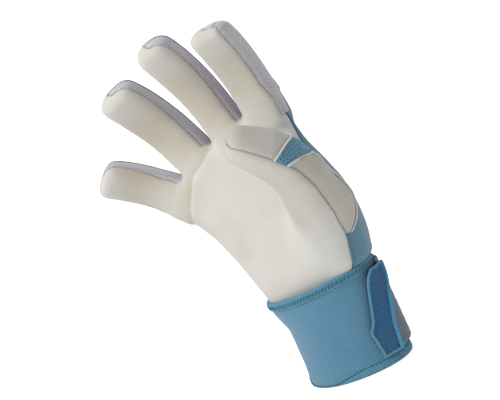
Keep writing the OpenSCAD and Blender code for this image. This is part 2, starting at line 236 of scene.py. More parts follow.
def finger_distance(name, u, v, t):
    c = CHAINS[name]
    slim_w, slim_d = (k * step(t, -4, 14) for k in SLIM[name])
    w = (c.half_w - slim_w) * (1 - 0.05 * step(t, c.end - 30, c.end))
    d = (c.half_d - slim_d) * (1 - 0.08 * step(t, c.end - 28, c.end))
    v = v + slim_d
    slant = TIP_SLANT[name] * np.maximum(v + 5, 0) * step(t, c.end - 30, c.end - 8)
    cap = np.maximum(t + slant - (c.end - TIP_ROUND[name]), 0)
    return rounded([(u, w), (v, d), (cap, TIP_ROUND[name])], SQUARE[name])


# Half sizes of the thumb along its length: towards the palm, away from it, and front to back
THUMB_NEAR = [(-20, 20), (0, 22), (25, 21), (50, 17.5), (62, 16.5), (85, 15.8), (95, 14.5), (104, 12.5),
              (112, 12)]
THUMB_FAR = [(-20, 20), (0, 22), (50, 22), (62, 21.6), (80, 18), (90, 15.5), (98, 13), (106, 10.5),
             (112, 9.5)]
THUMB_DEEP = [(-20, 16), (0, 17), (30, 17), (50, 15.5), (60, 14.5), (80, 12.6), (92, 11), (104, 9),
              (112, 8.4)]
THUMB_CAP, THUMB_FOOT = 10.0, 12.0


def thumb_distance(u, v, t):
    near, far, deep = (soft_line(t, knots) for knots in (THUMB_NEAR, THUMB_FAR, THUMB_DEEP))
    cap = np.maximum(t - (THUMB.end - THUMB_CAP), 0)
    foot = np.maximum(-10 - t, 0)
    return rounded([between(u, -far, near), (v, deep), (cap, THUMB_CAP), (foot, THUMB_FOOT)], 2.7)


# The palm's outline: its sides, front and back at each height, and its top across the hand
PALM_LEFT = [(-16, -38.5), (0, -39.5), (28, -41.5), (53, -45), (74, -52.5), (83, -60), (100, -68)]
PALM_RIGHT = [(-14, 41), (-7, 44), (10, 50), (28, 54.5), (40, 56), (56, 54.5), (74, 51.5), (92, 52)]
PALM_FRONT = [(-12, -22), (0, -23), (10, -21), (40, -18), (70, -15.5), (100, -13)]
PALM_BACK = [(-12, 22), (0, 23), (10, 19), (40, 15.5), (70, 14), (100, 13)]
PALM_TOP = [(-70, 80), (-61, 86), (-40, 99), (-20, 107), (10, 109), (45, 108), (57, 104), (70, 98)]


def palm_distance(x, y, z):
    left, right, front, back = (soft_line(z, k) for k in (PALM_LEFT, PALM_RIGHT, PALM_FRONT, PALM_BACK))
    side = rounded([between(x, left, right), between(y, front, back)], 3.0)
    return soft_max(side, z - soft_line(x, PALM_TOP, 4), 9)


def top_edge_drop(x):
    """The cuff's upper edge is lower towards the little finger (negative, in millimetres)."""
    return -5.5 * step(-x, -46, 44)


def hand_coords(p):
    r = p - WRIST
    return r @ HAND_ACROSS, r @ BACKWARD, r @ HAND_UP


FAR = 40.0             # the distance given to points outside a part's box
ROOM, MARGIN = 24.0, 14.0
FINGER_FOOT = 22       # how far a finger's own shape reaches below its knuckle


def chain_box(chain):
    """The lowest and highest corner of a box that holds a chain's part of the hand."""
    points = np.array([chain.centre(t) for t in np.linspace(-chain.start, chain.end, 12)])
    return points.min(0) - ROOM, points.max(0) + ROOM


BOXES = {name: chain_box(chain) for name, chain in PARTS.items()}
FIELDS = ["row_z", "x", "y", "z", "d_palm"] + [k + name for name in PARTS for k in ("d_", "u_", "v_", "t_")]
COL = {name: i for i, name in enumerate(FIELDS)}
THUMB_FOLD = [(0, 16), (25, 11), (45, 6), (60, 3)]
CUFF_W, CUFF_D = 41.0, 29.0
SLEEVE_GAP, SLEEVE_TOP, SLEEVE_END = 3.2, 69.5, 57


def measure(p):
    """Every coordinate and distance of the points p, one column each, and the surface value."""
    out = np.zeros((len(p), len(FIELDS)))
    x, y, z = hand_coords(p)
    palm = palm_distance(x, y, z)
    out[:, :5] = np.stack([p[:, 2], x, y, z, palm], 1)
    for name, chain in PARTS.items():
        lo, hi = BOXES[name]
        here = np.all((p > lo - MARGIN) & (p < hi + MARGIN), axis=1)
        c = COL["d_" + name]
        out[:, c], out[:, c + 3] = FAR, -FAR
        if here.any():
            u, v, t = chain.coords(p[here])
            if name == "thumb":
                d = thumb_distance(u, v, t)
            else:
                d = soft_max(finger_distance(name, u, v, t), -t - FINGER_FOOT, 6)
            out[here, c:c + 4] = np.stack([d, u, v, t], 1)
    fingers = out[:, COL["d_index"]]
    for f in FINGERS[1:]:
        fingers = soft_min(fingers, out[:, COL["d_" + f]], 3)
    fold = soft_line(out[:, COL["t_thumb"]], THUMB_FOLD)
    body = soft_min(soft_min(fingers, palm, 6), out[:, COL["d_thumb"]], fold)
    # the sleeve narrows into the cuff and ends inside it
    oval = rounded([(p[:, 0], CUFF_W), (p[:, 1], CUFF_D)], 2.0)
    over_rim = np.maximum(p[:, 2] - top_edge_drop(p[:, 0]) - SLEEVE_TOP, 0)
    sleeve = oval + SLEEVE_GAP - 1.1 * over_rim
    return out, soft_max(soft_max(body, sleeve, 2), SLEEVE_END - p[:, 2], 3)


def surface(h):
    """The surface as quads: one vertex in each cell it passes, one quad for each edge it crosses."""
    lo = np.min([b[0] for b in BOXES.values()], axis=0)
    hi = np.max([b[1] for b in BOXES.values()], axis=0)
    lo[2] = SLEEVE_END - 5
    n = np.ceil((hi - lo) / h).astype(int) + 1
    axes = [lo[k] + h * np.arange(n[k]) for k in range(3)]
    yy, zz = np.meshgrid(axes[1], axes[2], indexing="ij")
    slices = [measure(np.stack([np.full(yy.size, x), yy.ravel(), zz.ravel()], 1))[1] for x in axes[0]]
    val = np.array(slices).reshape(tuple(n))
    inside = val < 0
    corners = np.array([(a, b, c) for a in (0, 1) for b in (0, 1) for c in (0, 1)])
    m = n - 1
    count = sum(inside[a:a + m[0], b:b + m[1], c:c + m[2]].astype(int) for a, b, c in corners)
    cells = np.argwhere((count > 0) & (count < 8))
    index = np.full(tuple(m), -1)
    index[tuple(cells.T)] = np.arange(len(cells))
    cv = np.stack([val[tuple((cells + o).T)] for o in corners], 1)
    pos, hits = np.zeros((len(cells), 3)), np.zeros(len(cells))
    for a in range(8):
        for b in range(a + 1, 8):
            edge = corners[b] - corners[a]
            if abs(edge).sum() != 1:
                continue
            fa, fb = cv[:, a], cv[:, b]
            cross = (fa < 0) != (fb < 0)
            s = np.where(cross, fa / np.where(cross, fa - fb, 1), 0)
            pos += cross[:, None] * (corners[a] + s[:, None] * edge)
            hits += cross
    vert = lo + h * (cells + pos / hits[:, None])
    quads = []
    for k in range(3):
        i, j = (k + 1) % 3, (k + 2) % 3
        a, b = np.delete(inside, -1, axis=k), np.delete(inside, 0, axis=k)
        e = np.argwhere(a != b)
        e = e[np.all([(e[:, x] > 0) & (e[:, x] < m[x]) for x in (i, j)], axis=0)]
        ei, ej = np.eye(3, dtype=int)[i], np.eye(3, dtype=int)[j]
        q = np.stack([index[tuple((e + o).T)] for o in (-ei - ej, -ej, 0 * ei, -ei)], 1)
        flip = b[tuple(e.T)]
        q[flip] = q[flip][:, ::-1]
        quads.append(q)
    q = np.concatenate(quads)
    return vert, q[(q >= 0).all(1)]


def sides_of(faces):
    """The edges of triangles or quads, all first sides first."""
    n = faces.shape[1]
    return np.concatenate([faces[:, [k, (k + 1) % n]] for k in range(n)])


def normals_of(vert, tri):
    a, b, c = vert[tri].transpose(1, 0, 2)
    face = np.cross(b - a, c - a)
    n = np.zeros_like(vert)
    for k in range(3):
        np.add.at(n, tri[:, k], face)
    return n / np.maximum(np.linalg.norm(n, axis=1), 1e-12)[:, None]


def gradient(p):
    g = np.empty_like(p)
    for k, o in enumerate(0.25 * np.eye(3)):
        g[:, k] = (measure(p + o)[1] - measure(p - o)[1]) * 2
    return g


def settle(vert, quad):
    """Evens out the mesh and puts its vertices back on the surface."""
    edges = np.unique(np.sort(sides_of(quad), axis=1), axis=0)
    for _ in range(2):
        total, count = np.zeros_like(vert), np.zeros(len(vert))
        for a, b in (edges.T, edges.T[::-1]):
            np.add.at(total, a, vert[b])
            np.add.at(count, a, 1)
        vert = vert + 0.5 * (total / count[:, None] - vert)
        g = gradient(vert)
        f = measure(vert)[1]
        vert = vert - (f / np.maximum((g * g).sum(1), 0.05))[:, None] * g
    g = gradient(vert)
    return vert, g / np.maximum(np.linalg.norm(g, axis=1), 1e-9)[:, None]


# ---------------------------------------------------------------- cutting the surface into panels

ZONES = ["core", "wrist", "thumb_root", "thumb_flex"]   # what a part of the surface bends between
ZONES += [f + part for f in FINGERS for part in ("_root", "_middle", "_end")]
ZONE = {name: i for i, name in enumerate(ZONES)}
PANELS = ["latex", "gusset", "back", "pad", "piped_pad", "band", "cap", "knit", "shield"]
PANEL = {name: i for i, name in enumerate(PANELS)}
NEAR_SEAM = 0.15       # vertices this close to a seam are taken as being on it


class Skin:
    """Triangles of the hand's surface with their fields. It is cut along seams into zones and panels."""

    def __init__(self, vert, quad, normal):
        self.v, self.n = vert, normal
        self.a = measure(vert)[0]
        d02 = np.linalg.norm(vert[quad[:, 0]] - vert[quad[:, 2]], axis=1)
        d13 = np.linalg.norm(vert[quad[:, 1]] - vert[quad[:, 3]], axis=1)
        a, b = quad[d02 <= d13], quad[d02 > d13]
        self.tri = np.concatenate([a[:, [0, 1, 2]], a[:, [0, 2, 3]], b[:, [0, 1, 3]], b[:, [1, 2, 3]]])
        self.zone = np.zeros(len(self.tri), int)
        self.panel = np.zeros(len(self.tri), int)
        self.dip, self.seam, self.lift = np.zeros((3, len(vert)))

    def f(self, name):
        return self.a[:, COL[name]]

    def low(self, name):
        """The least value of a field at each triangle's corners."""
        return self.f(name)[self.tri].min(1)

    def high(self, name):
        return self.f(name)[self.tri].max(1)

    def off_palm(self):
        return self.f("d_palm") - self.f("d_thumb")

    def is_panel(self, name):
        return self.panel == PANEL[name]

    def is_zone(self, *names):
        return np.isin(self.zone, [ZONE[n] for n in names])

    def cut(self, s, where, depth=0.0, width=1.2, raise_by=0.0, ramp=2.2, swell=None):
        """Splits the chosen triangles where s is 0. Returns those with s above 0 and those below."""
        s = s.copy()
        used = np.zeros(len(self.v), bool)
        used[self.tri[where].ravel()] = True
        s[used & (np.abs(s) < NEAR_SEAM)] = 0
        if depth:
            self.dip[used] = np.maximum(self.dip[used], depth * np.exp(-(s[used] / width) ** 2))
            # seam marks where the latex gets painted shade along the dip
            self.seam[used] = np.maximum(self.seam[used], np.exp(-(s[used] / 0.8) ** 2))
        if raise_by:
            over = s if swell is None else np.minimum(s, swell)
            self.lift[used] = np.maximum(self.lift[used], raise_by * step(over[used], 0, ramp))
        e = np.sort(sides_of(self.tri[where]), axis=1)
        e = e[s[e[:, 0]] * s[e[:, 1]] < 0]
        n = len(self.v)
        keys = np.unique(e[:, 0] * n + e[:, 1])
        self.add_between(keys // n, keys % n, s)
        self.dip[n:] = np.maximum(self.dip[n:], depth)
        self.seam[n:] = np.maximum(self.seam[n:], float(depth > 0))
        s = np.concatenate([s, np.zeros(len(keys))])
        parent = self.split(keys, n)
        where = where[parent]
        up = s[self.tri].sum(1) > 0
        return where & up, where & ~up

    def add_between(self, a, b, s):
        """New vertices where s is 0 between the vertices a and b."""
        k = s[a] / (s[a] - s[b])

        def mix(x):
            return np.concatenate([x, x[a] + (k[:, None] if x.ndim > 1 else k) * (x[b] - x[a])])

        self.v, self.n, self.a = mix(self.v), mix(self.n), mix(self.a)
        self.dip, self.seam, self.lift = mix(self.dip), mix(self.seam), mix(self.lift)

    def split(self, keys, n):
        """Splits triangles at the new vertices, n onwards, one for each edge key; returns the parents."""
        tri = self.tri
        mid = np.full((len(tri), 3), -1)
        for i in range(3):
            ab = np.sort(tri[:, [i, (i + 1) % 3]], axis=1)
            key = ab[:, 0] * n + ab[:, 1]
            if len(keys):
                at = np.minimum(np.searchsorted(keys, key), len(keys) - 1)
                mid[:, i] = np.where(keys[at] == key, n + at, -1)
        count = (mid >= 0).sum(1)
        new, parent = [tri[count == 0]], [np.flatnonzero(count == 0)]
        for i in range(3):
            j, l = (i + 1) % 3, (i + 2) % 3
            r = np.flatnonzero((count == 1) & (mid[:, i] >= 0))
            m = mid[r, i]
            new += [np.stack([tri[r, i], m, tri[r, l]], 1), np.stack([m, tri[r, j], tri[r, l]], 1)]
            parent += [r, r]
            r = np.flatnonzero((count == 2) & (mid[:, l] < 0))
            m0, m1 = mid[r, i], mid[r, j]
            new += [np.stack([m0, tri[r, j], m1], 1), np.stack([tri[r, i], m0, m1], 1),
                    np.stack([tri[r, i], m1, tri[r, l]], 1)]
            parent += [r, r, r]
        self.tri, parent = np.concatenate(new), np.concatenate(parent)
        self.zone, self.panel = self.zone[parent], self.panel[parent]
        return parent


FINGER_START = -2.0
WRIST_BEND_FROM, WRIST_TOP = 76.0, 97.0
THUMB_START, THUMB_FLEX, FLEX_END = 2.0, 44.0, 78.0
WEB, FLEX_CLEAR = -8.0, 14.0       # how far off the palm the thumb starts to swing, and to bend


def zone_limits(f):
    """Where a finger's three zones start and end along it."""
    k, m, t = CHAINS[f].joint_at
    return FINGER_START, k + 0.56 * (m - k), m + 0.5 * (t - m), CHAINS[f].end


def cut_zones(skin):
    _, wrist = skin.cut(skin.f("row_z") - WRIST_TOP, np.ones(len(skin.tri), bool))
    skin.zone[wrist] = ZONE["wrist"]
    for f in FINGERS:
        before = "core"
        for start, part in zip(zone_limits(f), ("_root", "_middle", "_end")):
            s = np.minimum(skin.f("t_" + f) - start, 3 - skin.f("d_" + f))
            beyond, _ = skin.cut(s, skin.is_zone(before))
            skin.zone[beyond] = ZONE[f + part]
            before = f + part
    s = np.minimum(skin.f("t_thumb") - THUMB_START, skin.off_palm() - WEB)
    thumb, _ = skin.cut(np.minimum(s, skin.f("row_z") - WRIST_TOP), skin.is_zone("core"))
    skin.zone[thumb] = ZONE["thumb_root"]
    s = np.minimum(skin.f("t_thumb") - THUMB_FLEX, skin.off_palm() - FLEX_CLEAR)
    flex, _ = skin.cut(s, skin.is_zone("thumb_root"))
    skin.zone[flex] = ZONE["thumb_flex"]


# Where the thumb's front seam runs round its section, in degrees from the across axis
THUMB_SEAM = [(-15, 31), (-6, 37), (4, 44), (15, 45), (40, 43.5), (60, 43.7), (68, 39), (79, 32.7),
              (91, 30), (97, 27), (102, 22), (106, 12)]
THUMB_SEAM_FAR = 188
# The palm's border on the thumb side: its depth, and how far across it is, at each height
BORDER_DEPTH = [(-20, -19.5), (-9, -19.7), (-1, -21.6), (7, -22.9), (20, -20), (60, -8), (80, 0), (90, 2),
                (100, -3)]
BORDER_ACROSS = [(-20, 33), (-9, 35.9), (-1, 40.2), (7, 44), (20, 46), (100, 50)]
# The depth of the piped pad's back edge at each height, and the flex band's upper edge across the thumb
PAD_EDGE = [(4, -30), (6.6, -22), (9.6, -15), (16, -6), (28, 1.5), (40, 2), (50, -4), (58, -15),
            (65, -29), (70, -42)]
BAND_TOP = [(-16, 10.4), (-6, 15.1), (1, 18), (6, 19.6), (13, 21.6)]


def front_field(skin):
    """Above 0 on the latex front of the palm and thumb. It is in millimetres near the seam."""
    x, y, z = skin.f("x"), skin.f("y"), skin.f("z")
    border = soft_line(z, BORDER_DEPTH) - y + 0.8 * (soft_line(z, BORDER_ACROSS) - x)
    palm = np.minimum(3 - y, border)
    angle = np.degrees(np.arctan2(skin.f("v_thumb"), skin.f("u_thumb")))
    angle = np.where(angle < -90, angle + 360, angle)
    seam = soft_line(skin.f("t_thumb"), THUMB_SEAM, 3)
    thumb = np.maximum(seam - angle, angle - THUMB_SEAM_FAR) * 0.26
    mix = step(skin.off_palm(), -5, 7)
    return palm * (1 - mix) + thumb * mix


BEND_AT = pivot("thumb_unbend")
BEND_ALONG = turn(unit(BEND_AT - pivot("thumb_swing")), -hinge("thumb_unbend"), THUMB_BEND / 2)


def past_band(skin, upper):
    """Above 0 beyond the lower or upper edge of the mesh band round the thumb's bend."""
    u = skin.f("u_thumb")
    edge = soft_line(u, BAND_TOP) if upper else 2.4 + 0.75 * u
    return (skin.v - BEND_AT) @ BEND_ALONG - edge


SHIELD_LEFT = [(10, -28), (30, -33), (60, -38), (90, -50)]
SHIELD_RIGHT = [(10, 22), (30, 25), (60, 32), (90, 39)]
SHIELD_TOP = [(-50, 84), (-30, 92), (-8, 98), (20, 99), (45, 95)]


def shield_field(skin):
    """Above 0 inside the raised latex shield on the back of the hand."""
    x, z = skin.f("x"), skin.f("z")
    across = soft_min(x - soft_line(z, SHIELD_LEFT), soft_line(z, SHIELD_RIGHT) - x, 10)
    return soft_min(across, soft_min(z - 16, soft_line(x, SHIELD_TOP, 6) - z, 10), 10)


# Where each finger's mesh side ends and its knit back begins, behind the centre line
GUSSET_BACK = {"index": 8.2, "middle": 7.0, "ring": 6.6, "pinky": 6.0}
PAD_GAP, PAD_SIDE, LAST_PAD_GAP = 3, 4.2, 9


def cut_finger(skin, f):
    """A finger's latex front, mesh sides and knit back, and the raised pads on that back."""
    c = CHAINS[f]
    mine = skin.is_zone(f + "_root", f + "_middle", f + "_end")
    u, v, t = (skin.f(k + f) for k in ("u_", "v_", "t_"))
    tip = step(t, c.end - 13, c.end - 3) * step(-u, -0.25 * c.half_w, 0.6 * c.half_w)
    s = -7.5 + 3.0 * step(t, 10, c.end - 10) + 12 * tip - v
    if f == "index":
        s = soft_min(s, c.half_w - 3.6 - u + 2.5 * step(10 - t, 0, 14), 3)
    front, rest = skin.cut(s, mine, 1.0, 1.1)
    skin.panel[front] = PANEL["latex"]
    back, side = skin.cut(skin.f("v_" + f) - GUSSET_BACK[f], rest, 0.6)
    skin.panel[side] = PANEL["gusset"]
    skin.panel[back] = PANEL["back"]
    _, m, j = c.joint_at
    for a, b in ((1.5, m - PAD_GAP), (m + PAD_GAP, j - PAD_GAP), (j + PAD_GAP, c.end - LAST_PAD_GAP)):
        along = (b - a) / 2 - np.abs(skin.f("t_" + f) - (a + b) / 2)
        s = soft_min(c.half_w - PAD_SIDE - np.abs(skin.f("u_" + f)), along, 5)
        mine = skin.is_panel("back") & skin.is_zone(f + "_root", f + "_middle", f + "_end")
        pad, _ = skin.cut(s, mine, 0.35, 1.0, 1.5)
        skin.panel[pad] = PANEL["pad"]


def cut_finger_foot(skin, f, far_side):
    """The mesh sides taper off below each finger, and run further beside the index finger."""
    long_side = f == "index" and far_side
    u, v, t, d = (skin.f(k + f) for k in ("u_", "v_", "t_", "d_"))
    back = np.minimum(t - FINGER_START, 0) * (0.4 if long_side else 2.2)
    front = v + 7.3 + back
    if long_side:
        front = np.minimum(np.maximum(front, u - CHAINS[f].half_w + 1.2), t + 17)
    s = np.minimum(GUSSET_BACK[f] + back - v, front)
    at = skin.tri
    where = skin.is_zone("core") & (t[at].max(1) < 0.5) & (t[at].min(1) > -FINGER_FOOT)
    where &= (d[at].max(1) < 9) & ((u[at].mean(1) > 0) == far_side)
    side, _ = skin.cut(s, where, 0.6)
    skin.panel[side] = PANEL["gusset"]


def cut_panels(skin):
    for f in FINGERS:
        cut_finger(skin, f)
    front, rest = skin.cut(front_field(skin), skin.zone <= ZONE["thumb_flex"], 1.0, 1.3)
    skin.panel[front] = PANEL["latex"]
    skin.panel[rest] = PANEL["knit"]
    cap, _ = skin.cut(past_band(skin, True), skin.is_panel("knit") & skin.is_zone("thumb_flex"), 0.7)
    skin.panel[cap] = PANEL["cap"]
    near = (skin.low("t_thumb") > 40) & (skin.high("d_thumb") < 10) & (skin.low("d_palm") > 1.5)
    band, _ = skin.cut(past_band(skin, False), skin.is_panel("knit") & near, 0.7)
    skin.panel[band] = PANEL["band"]
    where = skin.is_panel("knit") & (skin.low("y") < 12) & (skin.low("x") > 5)
    where &= (skin.low("u_thumb") > -24) & ~skin.is_zone("wrist")
    s = soft_min(soft_line(skin.f("z"), PAD_EDGE, 2.5) - skin.f("y"), skin.f("u_thumb") + 15, 4)
    pad, _ = skin.cut(s, where, 0.7, 1.2, 2.2, 7.0, -front_field(skin))
    skin.panel[pad] = PANEL["piped_pad"]
    for f in FINGERS:
        for far_side in (False, True):
            cut_finger_foot(skin, f, far_side)
    where = skin.is_panel("knit") & (skin.low("y") > 0) & skin.is_zone("core")
    shield, _ = skin.cut(np.minimum(shield_field(skin), skin.f("y") - 2), where, 0.4, 1.0, 1.8, 3.0)
    skin.panel[shield] = PANEL["shield"]


# The folds below the ring and little fingers: their height across the palm
BASE_FOLD = [(-60, 60), (-52, 70), (-42, 83), (-36, 89.5), (-31, 95), (-26, 99.5), (-16, 102.5),
             (-7, 106.7), (4, 110), (14, 112)]


def base_fold(x):
    return np.interp(x, *zip(*BASE_FOLD))


def crease(skin):
    """Presses in the soft folds where the ring and little fingers meet the palm, and paints shade into them.
    """
    x, y, z = skin.f("x"), skin.f("y"), skin.f("z")
    off = (z - base_fold(x)) * 0.75
    fold = np.exp(-(off / 1.5) ** 2) * (y < -4) * step(6 - x, 0, 10) * step(x, -56, -50)
    skin.dip = np.maximum(skin.dip, 0.7 * fold)
    # painted shade along the folds
    skin.seam = np.maximum(skin.seam, 0.62 * fold)


# ---------------------------------------------------------------- meshes in the scene

def add_mesh(name, points, faces, material, normals=None, weave=None, **extra):
    """A mesh object from points in millimetres. Its material reads rest, weave and any extra attributes."""
    mesh = bpy.data.meshes.new(name)
    sizes = np.concatenate([np.full(len(f), f.shape[1]) for f in faces])
    loops = np.concatenate([f.ravel() for f in faces])
    mesh.vertices.add(len(points))
    mesh.vertices.foreach_set("co", (np.asarray(points, np.float32) * MM).ravel())
    mesh.loops.add(len(loops))
    mesh.loops.foreach_set("vertex_index", loops.astype(np.int32))
    mesh.polygons.add(len(sizes))
    mesh.polygons.foreach_set("loop_start", np.concatenate([[0], np.cumsum(sizes)[:-1]]).astype(np.int32))
    mesh.polygons.foreach_set("use_smooth", np.full(len(sizes), True))
    mesh.materials.append(material)
    mesh.update(calc_edges=True)
    mesh.validate()
    for label, data in (("rest", points), ("weave", points if weave is None else weave)):
        att = mesh.attributes.new(label, "FLOAT_VECTOR", "POINT")
        att.data.foreach_set("vector", np.asarray(data, np.float32).ravel())
    for label, data in extra.items():
        att = mesh.attributes.new(label, "FLOAT", "POINT")
        att.data.foreach_set("value", np.asarray(data, np.float32))
    if normals is not None:
        mesh.normals_split_custom_set_from_vertices([tuple(n) for n in normals])
    obj = bpy.data.objects.new(name, mesh)
    bpy.context.scene.collection.objects.link(obj)
    return obj


def bend(obj):
    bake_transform(obj)


def stand_in(obj, slot, *nodes):
    """Hides the CAD nodes that a piece is shown in place of. Its slot is not used."""
    if nodes:
        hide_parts(*nodes)


def thumb_weight(a):
    """A weight from 0 to 1 that rises out along the thumb: none where its fold meets the palm."""
    off = a[:, COL["d_palm"]] - a[:, COL["d_thumb"]]
    return (step(a[:, COL["t_thumb"]], THUMB_START, 30) * step(off, WEB, FLEX_CLEAR)
            * step(a[:, COL["row_z"]], WRIST_TOP, WRIST_TOP + 22))


def hang(obj, zone):
    """Attaches a piece on the core to the hand's body; a piece on any other zone is baked in place."""
    if zone == "core":
        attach(obj, "hand")
    else:
        bend(obj)


REPLACED = {
    ("core", "latex"): ["palm_latex", "palm_lining", "ulnar_side_panel"],
    ("core", "shield"): ["backhand_panel"],
    ("core", "knit"): ["backhand_foam", "backhand_lining", "radial_side_panel"],
    ("thumb_root", "latex"): ["thumb_base_latex"],
    ("thumb_root", "piped_pad"): ["thumb_base_pad"],
    ("thumb_root", "knit"): ["thumb_base_side"],
    ("thumb_flex", "latex"): ["thumb_tip_latex"],
    ("thumb_flex", "knit"): ["thumb_tip_gusset"],
    ("thumb_flex", "cap"): ["thumb_tip_back"],
    ("thumb_flex", "band"): ["thumb_flex_band"],
}
SEGMENTS = {"_root": "_base_", "_middle": "_mid_", "_end": "_tip_"}
REPLACED.update({(f + part, panel): [f + segment + panel] for f in FINGERS
                 for part, segment in SEGMENTS.items() for panel in ("latex", "gusset", "back")})
SLOTS = {"latex": "latex_palm", "gusset": "air_mesh", "back": "side_knit", "pad": "backhand_latex",
         "piped_pad": "backhand_latex", "band": "flex_mesh", "cap": "latex_palm", "knit": "side_knit",
         "shield": "backhand_latex"}
THICK = {"latex": 3.0, "gusset": 1.2, "back": 1.4, "pad": 2.6, "piped_pad": 2.6, "band": 1.2,
         "cap": 3.0, "knit": 1.4, "shield": 2.8}


def weave_coords(zone, panel, a):
    """Coordinates in millimetres along and across each panel's fabric."""
    f = "index" if zone == "core" else zone.split("_")[0]
    if panel in ("gusset", "back", "pad") or (panel == "latex" and f in FINGERS and zone != "core"):
        names = ["t_" + f, "v_" + f, "u_" + f]
    elif panel in ("band", "cap"):
        names = ["t_thumb", "u_thumb", "v_thumb"]
    else:
        names = ["x", "z", "y"]
    return a[:, [COL[n] for n in names]]


def warmth(zone, a):
    """How dark the latex is painted: painted shade along the fingers' middles, lighter towards their tips as
    a painted highlight, painted shade low on the palm and on the thumb, and a warmer latex tone past the
    finger-base folds and high on the palm.
    """
    f = zone.split("_")[0]
    if f in FINGERS:
        t, end = a[:, COL["t_" + f]], CHAINS[f].end
        # painted shade along each finger's middle, with a painted highlight towards its tip
        return 0.62 + 0.3 * step(t, 0, 16) - 0.85 * step(t, 0.5 * end, 0.92 * end)
    z, x = a[:, COL["z"]], a[:, COL["x"]]
    # a warmer latex tone past the folds below the ring and little fingers, and high on the palm
    past_fold = step(z - base_fold(x), -0.8, 1.6) * step(14 - x, 0, 14)
    palm = 0.62 * (past_fold + step(z, 84, 112) * step(x, 0, 14))
    # painted shadow low on the palm, towards the cuff
    palm = palm + 0.35 * step(14 - z, 0, 26) * step(30 - x, 0, 40)
    if f == "thumb":
        # painted shade on the thumb, deepest on its latex front
        palm = palm + (0.2 + 0.6 * step(-a[:, COL["v_thumb"]], 0, 11)) * thumb_weight(a)
    return palm


def add_panel(skin, zone, panel, tri, p, normals, material):
    """One closed piece of cloth: its outer face, the inner one under it, and the wall at its rim."""
    used, tri = np.unique(tri, return_inverse=True)
    tri = tri.reshape(-1, 3)
    m = len(used)
    e = sides_of(tri)
    rim = e[~np.isin(e[:, 0] * m + e[:, 1], e[:, 1] * m + e[:, 0])]
    walls = np.stack([rim[:, 1], rim[:, 0], rim[:, 0] + m, rim[:, 1] + m], 1)
    a, n = skin.a[used], normals[used]
    twice = np.tile(np.arange(m), 2)
    points = np.concatenate([p[used], p[used] - skin.n[used] * THICK[panel]])
    obj = add_mesh(f"{zone}_{panel}_panel", points, [tri, tri[:, ::-1] + m, walls], material,
                   np.concatenate([n, -skin.n[used]]), weave_coords(zone, panel, a)[twice],
                   warmth=warmth(zone, a)[twice], seam=skin.seam[used][twice])
    hang(obj, zone)
    stand_in(obj, SLOTS[panel], *REPLACED.get((zone, panel), []))


FEWEST = 12            # scraps with fewer triangles than this are left out


def build_hand(materials, h):
    vert, quad = surface(h)
    vert, normal = settle(vert, quad)
    skin = Skin(vert, quad, normal)
    cut_zones(skin)
    cut_panels(skin)
    crease(skin)
    p = skin.v + skin.n * (skin.lift - skin.dip)[:, None]
    for panel in PANELS:
        same = skin.is_panel(panel)
        normals = normals_of(p, skin.tri[same])
        for zone in ZONES:
            tri = skin.tri[same & skin.is_zone(zone)]
            if len(tri) >= FEWEST:
                add_panel(skin, zone, panel, tri, p, normals, materials[panel])
    return skin, p


# ---------------------------------------------------------------- materials

class Look:
    """A node material with a few short ways to add the nodes it needs."""

    def __init__(self, name, color, rough=0.8, sheen=0.0, sheen_rough=0.5):
        self.m = bpy.data.materials.new(name)
        self.m.use_nodes = True
        self.t = self.m.node_tree
        self.b = self.t.nodes["Principled BSDF"]
        self.b.inputs["Roughness"].default_value = rough
        self.b.inputs["Specular IOR Level"].default_value = 0.35
        self.b.inputs["Sheen Weight"].default_value = sheen
        self.b.inputs["Sheen Roughness"].default_value = sheen_rough
        self.color = self.add("RGB").outputs[0]
        self.color.default_value = (*color, 1)
        self.height = None

    def add(self, kind, **props):
        n = self.t.nodes.new("ShaderNode" + kind)
        for k, v in props.items():
            setattr(n, k, v)
        return n

    def link(self, a, b):
        self.t.links.new(a, b)

    def math(self, op, *args):
        n = self.add("Math", operation=op)
        for i, a in enumerate(args):
            if isinstance(a, (int, float)):
                n.inputs[i].default_value = a
            else:
                self.link(a, n.inputs[i])
        return n.outputs[0]

    def read(self, name, kind="Vector"):
        """What the mesh says in the named attribute."""
        return self.add("Attribute", attribute_name=name).outputs[kind]

    def wave(self, direction, pitch):
        """A sine of that pitch in millimetres along a direction of the weave, 0 to 1."""
        n = self.add("VectorMath", operation="DOT_PRODUCT")
        self.link(self.read("weave"), n.inputs[0])
        n.inputs[1].default_value = np.array(direction) * 2 * math.pi / pitch
        return self.math("MULTIPLY_ADD", self.math("SINE", n.outputs["Value"]), 0.5, 0.5)

    def noise(self, size, detail=2.0):
        """Noise whose features are about size millimetres."""
        n = self.add("TexNoise", noise_dimensions="3D")
        self.link(self.read("rest"), n.inputs["Vector"])
        n.inputs["Scale"].default_value = 1 / size
        n.inputs["Detail"].default_value = detail
        return n.outputs["Fac"]

    def ramp(self, fac, a, b):
        n = self.add("MapRange", interpolation_type="SMOOTHSTEP")
        self.link(fac, n.inputs["Value"])
        n.inputs["From Min"].default_value = a
        n.inputs["From Max"].default_value = b
        return n.outputs["Result"]

    def tint(self, fac, color):
        """Goes to another colour where fac is 1."""
        n = self.add("Mix", data_type="RGBA")
        self.link(fac, n.inputs["Factor"])
        self.link(self.color, n.inputs["A"])
        n.inputs["B"].default_value = (*color, 1)
        self.color = n.outputs["Result"]

    def patches(self, size, detail, a, b, most, color):
        """Patches of another colour, about size millimetres wide and never more than that strong."""
        self.tint(self.math("MULTIPLY", self.ramp(self.noise(size, detail), a, b), most), color)

    def relief(self, fac, depth):
        """Adds a bump of that depth in millimetres."""
        n = self.add("Bump")
        n.inputs["Distance"].default_value = depth * MM
        self.link(fac, n.inputs["Height"])
        if self.height is not None:
            self.link(self.height, n.inputs["Normal"])
        self.height = n.outputs["Normal"]

    def done(self):
        self.link(self.color, self.b.inputs["Base Color"])
        if self.height is not None:
            self.link(self.height, self.b.inputs["Normal"])
        return self.m


def dim(color, k):
    return tuple(k * c for c in color)


